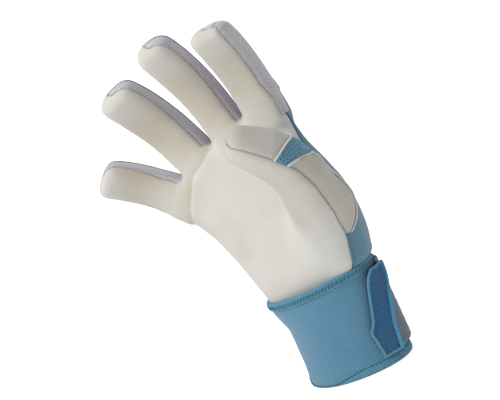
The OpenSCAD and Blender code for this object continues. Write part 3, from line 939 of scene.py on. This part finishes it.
def latex(name, color, warm):
    k = Look(name, color, 0.82, 0.12)
    # tints by the mesh's painted shade (finger middles, low palm, thumb) and its warmer latex tone
    tone = k.read("warmth", "Fac")
    patchy = k.math("MULTIPLY_ADD", k.ramp(k.noise(30, 3), 0.35, 0.75), 0.35, 0.65)
    k.tint(k.math("MULTIPLY", tone, patchy), warm)
    k.patches(38, 3, 0.5, 0.75, 0.35, warm)
    k.patches(4, 4, 0.6, 0.85, 0.16, dim(warm, 0.8))
    k.patches(0.9, 2, 0.35, 0.75, 0.12, dim(color, 0.7))
    # painted shade along the dipped seams and in the finger-base folds
    seam = k.ramp(k.read("seam", "Fac"), 0.35, 1.0)
    k.tint(k.math("MULTIPLY", seam, 0.6), dim(warm, 0.35))
    k.relief(k.noise(16, 2), 0.35)
    k.relief(k.noise(0.8, 3), 0.03)
    return k.done()


def knit(name, color, pale, direction, pitch, depth=0.16, contrast=0.5):
    """A ribbed knit: ribs across a direction of the weave, with the loops of its yarn along them."""
    k = Look(name, color, 0.9, 0.35)
    ribs = k.wave(direction, pitch)
    across = (-direction[1], direction[0], 0)
    loops = k.wave(across, pitch * 0.8)
    k.tint(k.math("MULTIPLY", k.ramp(ribs, 0.25, 0.95), contrast), pale)
    k.tint(k.math("MULTIPLY", k.math("MULTIPLY", loops, k.math("SUBTRACT", 1.0, ribs)), 0.35),
           dim(color, 0.55))
    k.patches(18, 3, 0.4, 0.75, 0.25, dim(color, 0.75))
    k.relief(ribs, depth)
    k.relief(loops, depth * 0.5)
    return k.done()


def air_mesh(name, color, gap, pitch):
    """A spacer mesh: pale slanting cords with small dark gaps between them."""
    k = Look(name, color, 0.55, 0.8, 0.3)
    cords = k.wave((1, 0.55, 0), pitch)
    holes = k.wave((-0.6, 1, 0), pitch * 0.8)
    gaps = k.math("MULTIPLY", k.ramp(cords, 0.45, 0.95), k.math("MULTIPLY_ADD", holes, 0.5, 0.5))
    k.tint(gaps, gap)
    k.patches(8, 2, 0.4, 0.7, 0.25, dim(color, 0.8))
    k.relief(k.math("SUBTRACT", 1.0, cords), 0.15)
    k.relief(holes, 0.06)
    return k.done()


def net(name, color, hole, pitch, sheen=0.5, size=0.62):
    """An open mesh: a lattice of small holes."""
    k = Look(name, color, 0.6, sheen, 0.35)
    a = k.wave((1, 0.6, 0), pitch)
    b = k.wave((1, -0.6, 0), pitch)
    holes = k.ramp(k.math("MULTIPLY", a, b), size, size + 0.2)
    k.tint(holes, hole)
    k.patches(9, 2, 0.4, 0.7, 0.3, dim(color, 0.8))
    k.relief(k.math("SUBTRACT", 1.0, holes), 0.22)
    return k.done()


def ribbed(name, color, pale, direction, pitch):
    k = Look(name, color, 0.75, 0.3)
    ribs = k.wave(direction, pitch)
    k.tint(k.math("MULTIPLY", ribs, 0.5), pale)
    k.patches(3, 3, 0.45, 0.75, 0.3, dim(color, 0.7))
    k.relief(ribs, 0.25)
    k.relief(k.noise(0.7, 2), 0.08)
    return k.done()


def fuzz(name, color, dark, size, depth):
    k = Look(name, color, 0.95, 0.6)
    k.tint(k.ramp(k.noise(size, 3), 0.4, 0.65), dark)
    k.relief(k.noise(size, 3), depth)
    return k.done()


def thread(name, color):
    k = Look(name, color, 0.6, 0.3)
    k.tint(k.math("MULTIPLY", k.noise(1.2, 2), 0.4), dim(color, 0.6))
    k.relief(k.wave((1, 1, 0), 0.8), 0.05)
    return k.done()


def make_materials():
    return {
        "latex": latex("latex_palm", (0.67, 0.655, 0.615), (0.53, 0.475, 0.385)),
        "cap": latex("latex_thumb_cap", (0.60, 0.585, 0.54), (0.52, 0.49, 0.43)),
        "piped_pad": latex("latex_pad", (0.56, 0.535, 0.48), (0.46, 0.42, 0.35)),
        "pad": latex("latex_back_pad", (0.60, 0.585, 0.55), (0.52, 0.49, 0.43)),
        "shield": latex("latex_shield", (0.60, 0.585, 0.55), (0.52, 0.49, 0.43)),
        "gusset": air_mesh("air_mesh", (0.64, 0.61, 0.66), (0.36, 0.33, 0.38), 1.6),
        "back": knit("back_knit", (0.06, 0.17, 0.27), (0.12, 0.28, 0.40), (1, 0.0, 0), 1.6),
        "band": net("perforated_mesh", (0.13, 0.33, 0.46), (0.02, 0.08, 0.14), 2.7, 0.4, 0.56),
        "knit": knit("side_knit", (0.115, 0.25, 0.34), (0.15, 0.30, 0.39), (0, 1.0, 0), 1.3, 0.06, 0.4),
        "cuff": knit("cuff_rib_knit", (0.095, 0.255, 0.395), (0.17, 0.35, 0.50), (0.66, -0.75, 0), 1.5),
        "lining": knit("soft_lining", (0.10, 0.20, 0.28), (0.17, 0.29, 0.38), (1, 0, 0), 1.4, 0.08, 0.4),
        "binding": ribbed("overlock_binding", (0.07, 0.25, 0.36), (0.14, 0.36, 0.48), (1, 0.35, 0), 2.4),
        "strap": ribbed("strap_elastic", (0.115, 0.165, 0.215), (0.16, 0.215, 0.265), (0.0, 1, 0), 2.0),
        "tab": ribbed("tab_rib", (0.015, 0.10, 0.235), (0.035, 0.19, 0.36), (0.91, 0.41, 0), 1.6),
        "tape": ribbed("light_tape", (0.07, 0.255, 0.38), (0.13, 0.345, 0.47), (1, 1, 0), 1.6),
        "ridge": ribbed("fold_tape", (0.05, 0.25, 0.45), (0.10, 0.36, 0.58), (0, 1, 0), 1.2),
        "loop": fuzz("loop_pile", (0.05, 0.12, 0.18), (0.02, 0.05, 0.09), 0.7, 0.5),
        "hook": fuzz("hook_strip", (0.03, 0.07, 0.11), (0.01, 0.02, 0.04), 0.5, 0.4),
        "white_thread": thread("white_piping", (0.74, 0.72, 0.68)),
        "blue_thread": thread("blue_thread", (0.06, 0.22, 0.33)),
        "dark_thread": thread("dark_thread", (0.02, 0.09, 0.14)),
        "pale_thread": thread("pale_thread", (0.55, 0.52, 0.47)),
    }


# ---------------------------------------------------------------- seams: tubes and stitches

def tube(path, radius, sides=6, up=None):
    """A closed tube with round ends along a path of points: its vertices, quads and triangles."""
    path = np.asarray(path, float)
    d = np.gradient(path, axis=0)
    d /= np.maximum(np.linalg.norm(d, axis=1), 1e-9)[:, None]
    up = np.tile([0.0, 0.0, 1.0], (len(path), 1)) if up is None else up
    a = np.cross(d, up)
    a /= np.maximum(np.linalg.norm(a, axis=1), 1e-9)[:, None]
    b = np.cross(a, d)
    rings = []
    ends = [(0, -0.55, 0.8), *[(i, 0.0, 1.0) for i in range(len(path))], (len(path) - 1, 0.55, 0.8)]
    ang = np.arange(sides) * 2 * math.pi / sides
    for i, shift, k in ends:
        c = path[i] + d[i] * shift * radius
        rings.append(c + radius * k * (np.cos(ang)[:, None] * a[i] + np.sin(ang)[:, None] * b[i]))
    v = np.concatenate(rings + [path[:1] - d[:1] * radius * 0.95, path[-1:] + d[-1:] * radius * 0.95])
    n, m = len(rings), sides
    i, j = np.meshgrid(np.arange(n - 1), np.arange(m), indexing="ij")
    k = (j + 1) % m
    quads = np.stack([i * m + j, (i + 1) * m + j, (i + 1) * m + k, i * m + k], -1).reshape(-1, 4)
    j = np.arange(m)
    k = (j + 1) % m
    last = (n - 1) * m
    foot = np.stack([k, 0 * j + n * m, j], 1)
    tip = np.stack([last + j, 0 * j + n * m + 1, last + k], 1)
    follow = np.concatenate([np.repeat([e[0] for e in ends], m), [0, len(path) - 1]])
    return v, quads, np.concatenate([foot, tip]), follow


def add_tubes(name, paths, radius, material, sides=6, ups=None):
    """One mesh of many tubes. Returns it and, for each vertex, the path point it follows."""
    parts, first, at = [], 0, 0
    for i, path in enumerate(paths):
        v, q, t, f = tube(path, radius, sides, None if ups is None else ups[i])
        parts.append((v, q + first, t + first, f + at))
        first += len(v)
        at += len(path)
    points, quads, tris, follow = (np.concatenate(x) for x in zip(*parts))
    steps = [np.linalg.norm(np.diff(p, axis=0, prepend=p[:1]), axis=1).cumsum() for p in paths]
    weave = np.concatenate(steps)[follow][:, None] * [1, 0, 0]
    return add_mesh(name, points, [quads, tris], material, weave=weave), follow


def chains_of(edges):
    """Joins edges into runs of vertex indices."""
    near = {}
    for a, b in edges:
        near.setdefault(a, []).append(b)
        near.setdefault(b, []).append(a)
    left = {tuple(sorted(e)) for e in edges.tolist()}
    runs = []
    starts = sorted([v for v in near if len(near[v]) != 2]) + sorted(near)
    for s in starts:
        for first in near[s]:
            if tuple(sorted((s, first))) not in left:
                continue
            run, prev, here = [s, first], s, first
            left.discard(tuple(sorted((s, first))))
            while len(near[here]) == 2:
                nxt = near[here][0] if near[here][0] != prev else near[here][1]
                key = tuple(sorted((here, nxt)))
                if key not in left:
                    break
                left.discard(key)
                run.append(nxt)
                prev, here = here, nxt
            runs.append(run)
    return runs


def even(path, data, gap):
    """The path and its data resampled at about that gap, after rounding its small steps."""
    path, data = path.copy(), data.copy()
    for _ in range(6):
        path[1:-1] = 0.5 * path[1:-1] + 0.25 * (path[:-2] + path[2:])
    s = np.concatenate([[0], np.linalg.norm(np.diff(path, axis=0), axis=1).cumsum()])
    n = max(int(round(s[-1] / gap)), 2)
    at = np.linspace(0, s[-1], n + 1)
    pick = lambda x: np.stack([np.interp(at, s, c) for c in x.T], 1)
    return pick(path), pick(data)


SHORTEST = 5           # seams shorter than this get no thread


def seam_runs(skin, p, first, second, zone, gap=1.0):
    """Paths along the border between two kinds of panel in one zone, with their normals and fields."""
    n = len(skin.v)

    def keys(panels):
        mine = np.isin(skin.panel, [PANEL[name] for name in panels]) & skin.is_zone(zone)
        e = np.sort(sides_of(skin.tri[mine]), axis=1)
        return np.unique(e[:, 0] * n + e[:, 1])

    both = np.intersect1d(keys(first), keys(second))
    out = []
    for run in chains_of(np.stack([both // n, both % n], 1)):
        if np.linalg.norm(np.diff(p[run], axis=0), axis=1).sum() < SHORTEST:
            continue
        _, data = even(p[run], np.concatenate([skin.n[run], skin.v[run], skin.a[run]], 1), gap)
        normal = data[:, :3] / np.linalg.norm(data[:, :3], axis=1)[:, None]
        out.append((data[:, 3:6], normal, data[:, 6:]))
    return out


def pipe_seams(skin, p, name, first, second, zones, radius, lift, material):
    """Piping along a seam, raised by lift from the surface."""
    for zone in zones:
        runs = seam_runs(skin, p, first, second, zone)
        if runs:
            paths = [base + normal * lift for base, normal, _ in runs]
            obj, follow = add_tubes(f"{name}_{zone}", paths, radius, material, 6, [n for _, n, _ in runs])
            hang(obj, zone)


# The thickness of a stitch, and how far it lies sunk in the seam
STITCH_R = 0.2
STITCH_SUNK = 0.35


def stitch_seams(skin, p, name, first, second, zones, material, gap, length):
    """A dashed line of stitches along a seam."""
    for zone in zones:
        paths, ups, fields = [], [], []
        for base, normal, a in seam_runs(skin, p, first, second, zone, gap):
            d = np.gradient(base, axis=0)
            d /= np.maximum(np.linalg.norm(d, axis=1), 1e-9)[:, None]
            centre = base - normal * STITCH_SUNK
            for i in range(1, len(base) - 1):
                ends = np.array([-0.5, -0.25, 0.25, 0.5])[:, None] * length * d[i]
                dipped = np.array([-0.25, 0.1, 0.1, -0.25])[:, None] * normal[i]
                paths.append(centre[i] + ends + dipped)
                ups.append(np.tile(normal[i], (4, 1)))
                fields.append(np.tile(a[i], (4, 1)))
        if paths:
            obj, follow = add_tubes(f"{name}_{zone}", paths, STITCH_R, material, 5, ups)
            hang(obj, zone)


# ---------------------------------------------------------------- cuff, strap and tab

DEGREES = np.linspace(-180, 180, 721)
CUFF_MEAN = 36.0


def oval_angle(deg):
    """The parameter of the cuff's oval at each direction from its centre."""
    r = np.radians(deg)
    return np.arctan2(np.sin(r) * CUFF_W, np.cos(r) * CUFF_D)


OVAL = np.unwrap(oval_angle(DEGREES))
OVAL = np.stack([CUFF_W * np.cos(OVAL), CUFF_D * np.sin(OVAL)], 1)
ARC = np.concatenate([[0], np.linalg.norm(np.diff(OVAL, axis=0), axis=1).cumsum()])


def waist(x, z):
    """How far in the little-finger side of the cuff is drawn at each height."""
    return step(-x, -6, 38) * (6.2 * step(69 - z, 0, 24) - 1.6 * step(22 - z, 0, 22))


def cuff_point(deg, z, off):
    """The point at that direction and height, off the cuff's face."""
    a = oval_angle(deg)
    x, y = (CUFF_W + off) * np.cos(a), (CUFF_D + off) * np.sin(a)
    height = z + top_edge_drop(x) * step(z, 5, 70)
    return np.stack(np.broadcast_arrays(x + waist(x, z), y, height), -1)


def cuff_normal(deg):
    a = oval_angle(deg)
    n = np.stack([np.cos(a) * CUFF_D, np.sin(a) * CUFF_W, np.zeros_like(a)], -1)
    return n / np.linalg.norm(n, axis=-1, keepdims=True)


def sheet(name, deg, z, outer, inner, material, closed=False, edge=0.0, sides=True):
    """A closed slab on the cuff's oval from grids of angle, height and two offsets."""
    deg, z, outer, inner = np.broadcast_arrays(deg, z, outer, inner)
    if edge:
        away = np.minimum(z - z[:, :1], z[:, -1:] - z)
        if not closed and sides:
            arc = np.radians(deg) * CUFF_MEAN
            away = np.minimum(away, np.minimum(np.abs(arc - arc[:1]), np.abs(arc[-1:] - arc)))
        k = 1 - np.clip(away / edge, 0, 1)
        drop = edge * (1 - np.sqrt(np.maximum(1 - k * k, 0))) * 0.8
        outer = np.maximum(outer - drop, inner + 0.1)
    n, m = deg.shape
    index = np.arange(n * m).reshape(n, m)
    if closed:
        index = np.concatenate([index, index[:1]])
    below = index + n * m

    def strip(a, b):
        return np.stack([a[:-1], b[:-1], b[1:], a[1:]], -1).reshape(-1, 4)

    face = np.stack([index[:-1, :-1], index[1:, :-1], index[1:, 1:], index[:-1, 1:]], -1).reshape(-1, 4)
    faces = [face, face[:, ::-1] + n * m, strip(index[:, 0], below[:, 0]), strip(below[:, -1], index[:, -1])]
    if not closed:
        faces += [strip(below[0], index[0]), strip(index[-1], below[-1])]
    points = np.concatenate([cuff_point(deg, z, off).reshape(-1, 3) for off in (outer, inner)])
    weave = np.stack([np.interp(deg, DEGREES, ARC), z, outer * 0], -1).reshape(-1, 3)
    obj = add_mesh(name, points, faces, material, weave=np.tile(weave, (2, 1)))
    return obj, np.tile(deg.reshape(-1), 2)


def grid(a, b, n, c, d, m):
    return np.meshgrid(np.linspace(a, b, n), np.linspace(c, d, m), indexing="ij")


def span(left, right, n):
    """A grid of angles, n rows from a left edge to a right one."""
    return left + (right - left) * np.linspace(0, 1, n)[:, None]


TAB_LEFT = [(8, -35.5), (20, -37.5), (28, -39.5), (33, -34), (40, -31), (48, -28), (59, -23), (63, -20),
            (66, -14)]
TAB_RIGHT = [(8, -18.5), (27, -15.5), (45, -8), (60, 1), (67, 2)]
TAB_LOW, TAB_HIGH = 9.0, 66.0
CUFF_STEP = 1.5        # degrees between the cuff's columns


def tab_left(z):
    return soft_line(z, TAB_LEFT, 1.5)


def tab_right(z):
    return soft_line(z, TAB_RIGHT, 3)


def peel(obj):
    """Bakes a piece of the strap or the pull tab in place."""
    bend(obj)


def hem_top(deg):
    """The hem tape is deep under the strap and thin at the front on the little-finger side."""
    d = (np.asarray(deg, float) + 180) % 360 - 180
    return 5.8 - 4.6 * step(d, -180, -150) * step(-d, 60, 112)


def on_cuff(obj, slot=None, *nodes):
    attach(obj, "cuff")
    if slot:
        stand_in(obj, slot, *nodes)


def thread_on_cuff(name, lines, material, radius=0.26):
    """Threads over the cuff. Each line is the degrees, heights and offsets of its points."""
    paths = [cuff_point(deg, z, off) for deg, z, off in lines]
    obj, _ = add_tubes(name, paths, radius, material, 5, [cuff_normal(deg) for deg, _, _ in lines])
    on_cuff(obj)


def slanted(z0, z1, off, count, lean):
    """Lines of slanted stitches all round, their ends sunk into the cloth."""
    k = np.linspace(0, 1, 5)
    height, sunk = z0 + (z1 - z0) * k, off + np.array([-0.5, 0, 0.05, 0, -0.5])
    return [(-180 + 360 * i / count + lean * k, height, sunk) for i in range(count)]


def dashes(off):
    return off + np.array([-0.15, 0.1, 0.1, -0.15])


def build_tape(name, node, low, high, out, material):
    """A folded tape over an edge of the cuff, waved a little by its stitches."""
    around = np.arange(720) * 0.5 - 180
    z = low + (high(around) - low)[:, None] * np.linspace(0, 1, 13)
    wave = 0.12 * np.cos(np.radians(around)[:, None] * 90 + (z - low) * 0.9)
    obj, _ = sheet(name, around[:, None], z, out + wave, -3.9, material, True, 1.4)
    on_cuff(obj, "binding", node)


def build_cuff(mats):
    around = 180 - CUFF_STEP
    deg, z = grid(-180, around, 240, 0.4, 68.5, 70)
    ripple = 0.15 * np.sin(z / 5) * np.sin(np.radians(deg * 5))
    on_cuff(sheet("cuff_rib_knit", deg, z, ripple, -2.1, mats["cuff"], True)[0], "cuff_knit", "cuff_knit")
    deg, z = grid(-180, around, 240, 3.0, 70.0, 30)
    lining, _ = sheet("cuff_soft_lining", deg, z, -2.2, -3.4, mats["lining"], True)
    on_cuff(lining, "lining", "cuff_lining")
    build_tape("cuff_top_tape", "cuff_top_binding", 66.6, lambda deg: 73.0 + 0 * deg, 1.1, mats["binding"])
    build_tape("cuff_hem_tape", "cuff_hem_binding", 0.2, hem_top, 0.55, mats["binding"])
    thread_on_cuff("cuff_top_ladder", slanted(68.4, 71.6, 1.3, 78, 2.66), mats["dark_thread"])
    thread_on_cuff("cuff_top_cross", slanted(67.0, 72.2, 1.25, 78, -2.24), mats["tape"], 0.3)
    turns = [-180 + 360 * (i + np.linspace(0, 0.62, 4)) / 74 for i in range(74)]
    hem_stitches = [(d, hem_top(d) + 0.5, dashes(0.25)) for d in turns]
    thread_on_cuff("cuff_hem_stitch", hem_stitches, mats["dark_thread"])
    z = np.linspace(18, 63, 60)
    patch, _ = sheet("loop_pile", span(tab_left(z) + 5, -8, 40), z, 0.9, 0.2, mats["loop"], False, 0.5)
    on_cuff(patch, "loop", "cuff_loop_patch")


STRAP_LOW, STRAP_HIGH = 12.0, 69.0
STRAP_OUT, STRAP_IN = 3.5, 1.8
STRAP_TURN = 50        # where the strap's back piece meets its front piece, in degrees
ANCHOR_FROM, ANCHOR_TO = 103, 117


def strap_face(deg, z):
    """The strap's outer face, with the soft ripples of its elastic."""
    return STRAP_OUT + 0.12 * np.sin(z * 2 * math.pi / 6.5) * step(deg, -2, 20)


def build_strap(mats):
    """Elastic strap from its anchor at the back to the pull tab on the thumb side."""
    fold, _ = sheet("anchor_fold", *grid(ANCHOR_FROM, ANCHOR_TO, 20, 15, 66, 60), 3.6, 0.2, mats["strap"],
                    False, 0.9)
    on_cuff(fold, "strap_elastic", "strap_anchor_seam")
    lines = [(np.full(4, d), 17.5 + 3.1 * k + np.linspace(0, 2.0, 4), dashes(3.6))
             for d in (ANCHOR_FROM + 3.5, ANCHOR_TO - 3.5) for k in range(16)]
    thread_on_cuff("anchor_stitch", lines, mats["tape"])
    deg, z = grid(STRAP_TURN, 105, 80, STRAP_LOW, STRAP_HIGH, 70)
    obj, d = sheet("strap_back", deg, z, strap_face(deg, z), STRAP_IN, mats["strap"], False, 0.6, False)
    bend(obj)
    stand_in(obj, "strap_elastic", "strap_panel")
    low = STRAP_LOW - 2.5
    z = np.linspace(low, STRAP_HIGH, 80)
    deg = span(tab_right(z) - 2.0, STRAP_TURN, 90)
    z = z + 2.5 * step(deg, 0, 45) * (STRAP_HIGH - z) / (STRAP_HIGH - low)
    obj, d = sheet("strap_front", deg, z, strap_face(deg, z), STRAP_IN, mats["strap"], False, 0.6, False)
    peel(obj)
    stand_in(obj, "strap_elastic")


RIB_SLANT, RIB_PITCH = (0.91, 0.41), 1.6


def build_tab(mats):
    """The pull tab: a ribbed slanted patch, its free edge taped, folded over at the strap."""
    z = np.linspace(TAB_LOW, TAB_HIGH, 150)
    deg = span(tab_left(z), tab_right(z), 60)
    ribs = np.interp(deg, DEGREES, ARC) * RIB_SLANT[0] + z * RIB_SLANT[1]
    ribs = 0.16 * np.sin(ribs * 2 * math.pi / RIB_PITCH)
    rise = 1.2 * step(np.linspace(0, 1, 60)[:, None], 0.55, 1.0) * step(deg, -20, 0)
    obj, d = sheet("pull_tab", deg, z, 4.2 + rise + ribs, 2.6 + 0.9 * rise, mats["tab"], False, 0.6)
    peel(obj)
    stand_in(obj, "pull_tab", "strap_tab")
    z = np.linspace(TAB_LOW, TAB_HIGH, 90)
    k = np.linspace(0, 1, 24)
    low, high = (cuff_point(tab_left(e) + (tab_right(e) - tab_left(e)) * k, e + 0 * k, 3.9 + k * k)
                 for e in (TAB_LOW, TAB_HIGH))
    rim = np.concatenate([low[:0:-1], cuff_point(tab_left(z), z, 4.1), high[1:]])
    fold = cuff_point(tab_right(z), z, 4.6 + 1.2 * step(tab_right(z), -20, 0))
    tapes = (("tab_tape", rim, np.degrees(np.arctan2(rim[:, 1], rim[:, 0])), 1.0, "tape", 8),
             ("tab_fold", fold, tab_right(z), 1.35, "ridge", 10))
    for name, path, deg, radius, material, sides in tapes:
        obj, follow = add_tubes(name, [path], radius, mats[material], sides, [cuff_normal(deg)])
        peel(obj)
        stand_in(obj, "pull_tab")
    z = np.linspace(22, 60, 60)
    left = np.maximum(tab_left(z) + 4, -26)
    hook, _ = sheet("hook_strip", span(left, -10, 30), z, 2.5, 1.4, mats["hook"], False, 0.4)
    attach(hook, "strap_tab")
    stand_in(hook, "hook", "strap_hook_patch")


# ---------------------------------------------------------------- camera, floor and light

def light(name, where, at, size, power, color=(1, 1, 1)):
    data = bpy.data.lights.new(name, "AREA")
    data.shape = "SQUARE"
    data.size = size
    data.energy = power
    data.color = color
    obj = bpy.data.objects.new(name, data)
    obj.location = where
    obj.rotation_euler = (Vector(at) - Vector(where)).to_track_quat("-Z", "Y").to_euler()
    bpy.context.scene.collection.objects.link(obj)


AZIMUTH, ELEVATION, ROLL = 25, 8, 25   # degrees
TARGET = Vector((-25.9, 8.3, 136.7)) * MM
DISTANCE = 0.827


def add_camera():
    """Looks at the palm from the thumb side, a little from above, rolled so that the glove leans left."""
    az, el, roll = map(math.radians, (AZIMUTH, ELEVATION, ROLL))
    back = Vector((math.sin(az) * math.cos(el), -math.cos(az) * math.cos(el), math.sin(el)))
    side = Vector((math.cos(az), math.sin(az), 0))
    up = back.cross(side)
    axes = (math.cos(roll) * side - math.sin(roll) * up, math.sin(roll) * side + math.cos(roll) * up, back)
    data = bpy.data.cameras.new("camera")
    data.lens = 85
    data.sensor_width = 36
    data.clip_start = 0.01
    data.clip_end = 20
    cam = bpy.data.objects.new("camera", data)
    cam.matrix_world = Matrix.Translation(TARGET + back * DISTANCE) @ Matrix(axes).transposed().to_4x4()
    bpy.context.scene.collection.objects.link(cam)
    bpy.context.scene.camera = cam


FLOOR_HALF, FLOOR_FRONT, CURVE_START, CURVE_R, WALL_TOP = 5.0, -3.0, 1.2, 0.8, 4.0


def floor_material():
    """Matt white, which glows a little where the camera looks at it, and only there."""
    mat = bpy.data.materials.new("stage_white")
    mat.use_nodes = True
    nodes, links = mat.node_tree.nodes, mat.node_tree.links
    shader = nodes["Principled BSDF"]
    shader.inputs["Base Color"].default_value = (0.93, 0.93, 0.93, 1)
    shader.inputs["Roughness"].default_value = 0.9
    shader.inputs["Emission Color"].default_value = (1, 1, 1, 1)
    path, glow = nodes.new("ShaderNodeLightPath"), nodes.new("ShaderNodeMapRange")
    glow.inputs["To Min"].default_value = 0.12
    glow.inputs["To Max"].default_value = 0.7
    links.new(path.outputs["Is Camera Ray"], glow.inputs["Value"])
    links.new(glow.outputs["Result"], shader.inputs["Emission Strength"])
    return mat


def add_floor():
    """A pale floor that curves up into a backdrop."""
    curve = [(CURVE_START + CURVE_R * math.sin(a), CURVE_R - CURVE_R * math.cos(a))
             for a in np.linspace(0, math.pi / 2, 12)]
    profile = [(FLOOR_FRONT, 0.0)] + curve + [(CURVE_START + CURVE_R, WALL_TOP)]
    verts = [(x, y, z) for y, z in profile for x in (-FLOOR_HALF, FLOOR_HALF)]
    faces = [(2 * i, 2 * i + 1, 2 * i + 3, 2 * i + 2) for i in range(len(profile) - 1)]
    mesh = bpy.data.meshes.new("floor")
    mesh.from_pydata(verts, [], faces)
    mesh.materials.append(floor_material())
    mesh.polygons.foreach_set("use_smooth", [True] * len(mesh.polygons))
    floor = bpy.data.objects.new("floor", mesh)
    bpy.context.scene.collection.objects.link(floor)


def add_world():
    """A faint sky that lights the glove, and plain white where the camera sees it."""
    world = bpy.data.worlds.new("world")
    world.use_nodes = True
    nodes, links = world.node_tree.nodes, world.node_tree.links
    sky = nodes["Background"]
    sky.inputs["Color"].default_value = (0.95, 0.97, 1.0, 1)
    sky.inputs["Strength"].default_value = 0.3
    path, mix, seen = (nodes.new("ShaderNode" + kind) for kind in ("LightPath", "MixShader", "Background"))
    seen.inputs["Color"].default_value = (1, 1, 1, 1)
    links.new(path.outputs["Is Camera Ray"], mix.inputs[0])
    links.new(sky.outputs[0], mix.inputs[1])
    links.new(seen.outputs[0], mix.inputs[2])
    links.new(mix.outputs[0], nodes["World Output"].inputs[0])
    bpy.context.scene.world = world


def add_stage():
    middle = (-0.02, 0, 0.14)
    add_floor()
    light("key", (-0.55, -0.85, 1.1), middle, 0.45, 13.0, (1.0, 0.985, 0.96))
    light("fill", (0.9, -1.1, 0.6), middle, 1.0, 1.2, (0.97, 0.98, 1.0))
    light("top", (0.3, 0.5, 1.3), middle, 0.8, 3)
    add_world()
    bpy.context.scene.view_settings.view_transform = "Standard"


def sew(skin, outer, mats):
    """Piping, edging and stitches along the hand's seams."""
    fingers = [zone for zone in ZONES if zone.split("_")[0] in FINGERS]
    white, blue, pale = (mats[name + "_thread"] for name in ("white", "blue", "pale"))
    pipe_seams(skin, outer, "piping_pad", ["piped_pad"], ["knit", "band"],
               ["core", "thumb_root", "thumb_flex"], 0.85, 0.7, white)
    pipe_seams(skin, outer, "piping_band", ["band"], ["cap", "knit"], ["thumb_flex"], 0.8, 0.5, white)
    inner_zones = ["core", "wrist", "thumb_root"]
    pipe_seams(skin, outer, "edging_palm", ["latex"], ["knit"], inner_zones, 0.5, 0.1, blue)
    pipe_seams(skin, outer, "edging_back", ["gusset"], ["back"], fingers, 0.45, 0.0, blue)
    stitch_seams(skin, outer, "stitch_front", ["latex"], ["gusset"], fingers, pale, 2.6, 1.7)
    stitch_seams(skin, outer, "stitch_cap", ["latex"], ["cap", "piped_pad"], ["thumb_flex", "thumb_root"],
                 pale, 2.8, 1.8)


CELL, QUICK_CELL = 1.5, 2.0    # size of the cells that the hand's surface is built from

add_camera()
add_stage()
materials = make_materials()
skin, outer = build_hand(materials, CELL)
sew(skin, outer, materials)
build_cuff(materials)
build_strap(materials)
build_tab(materials)
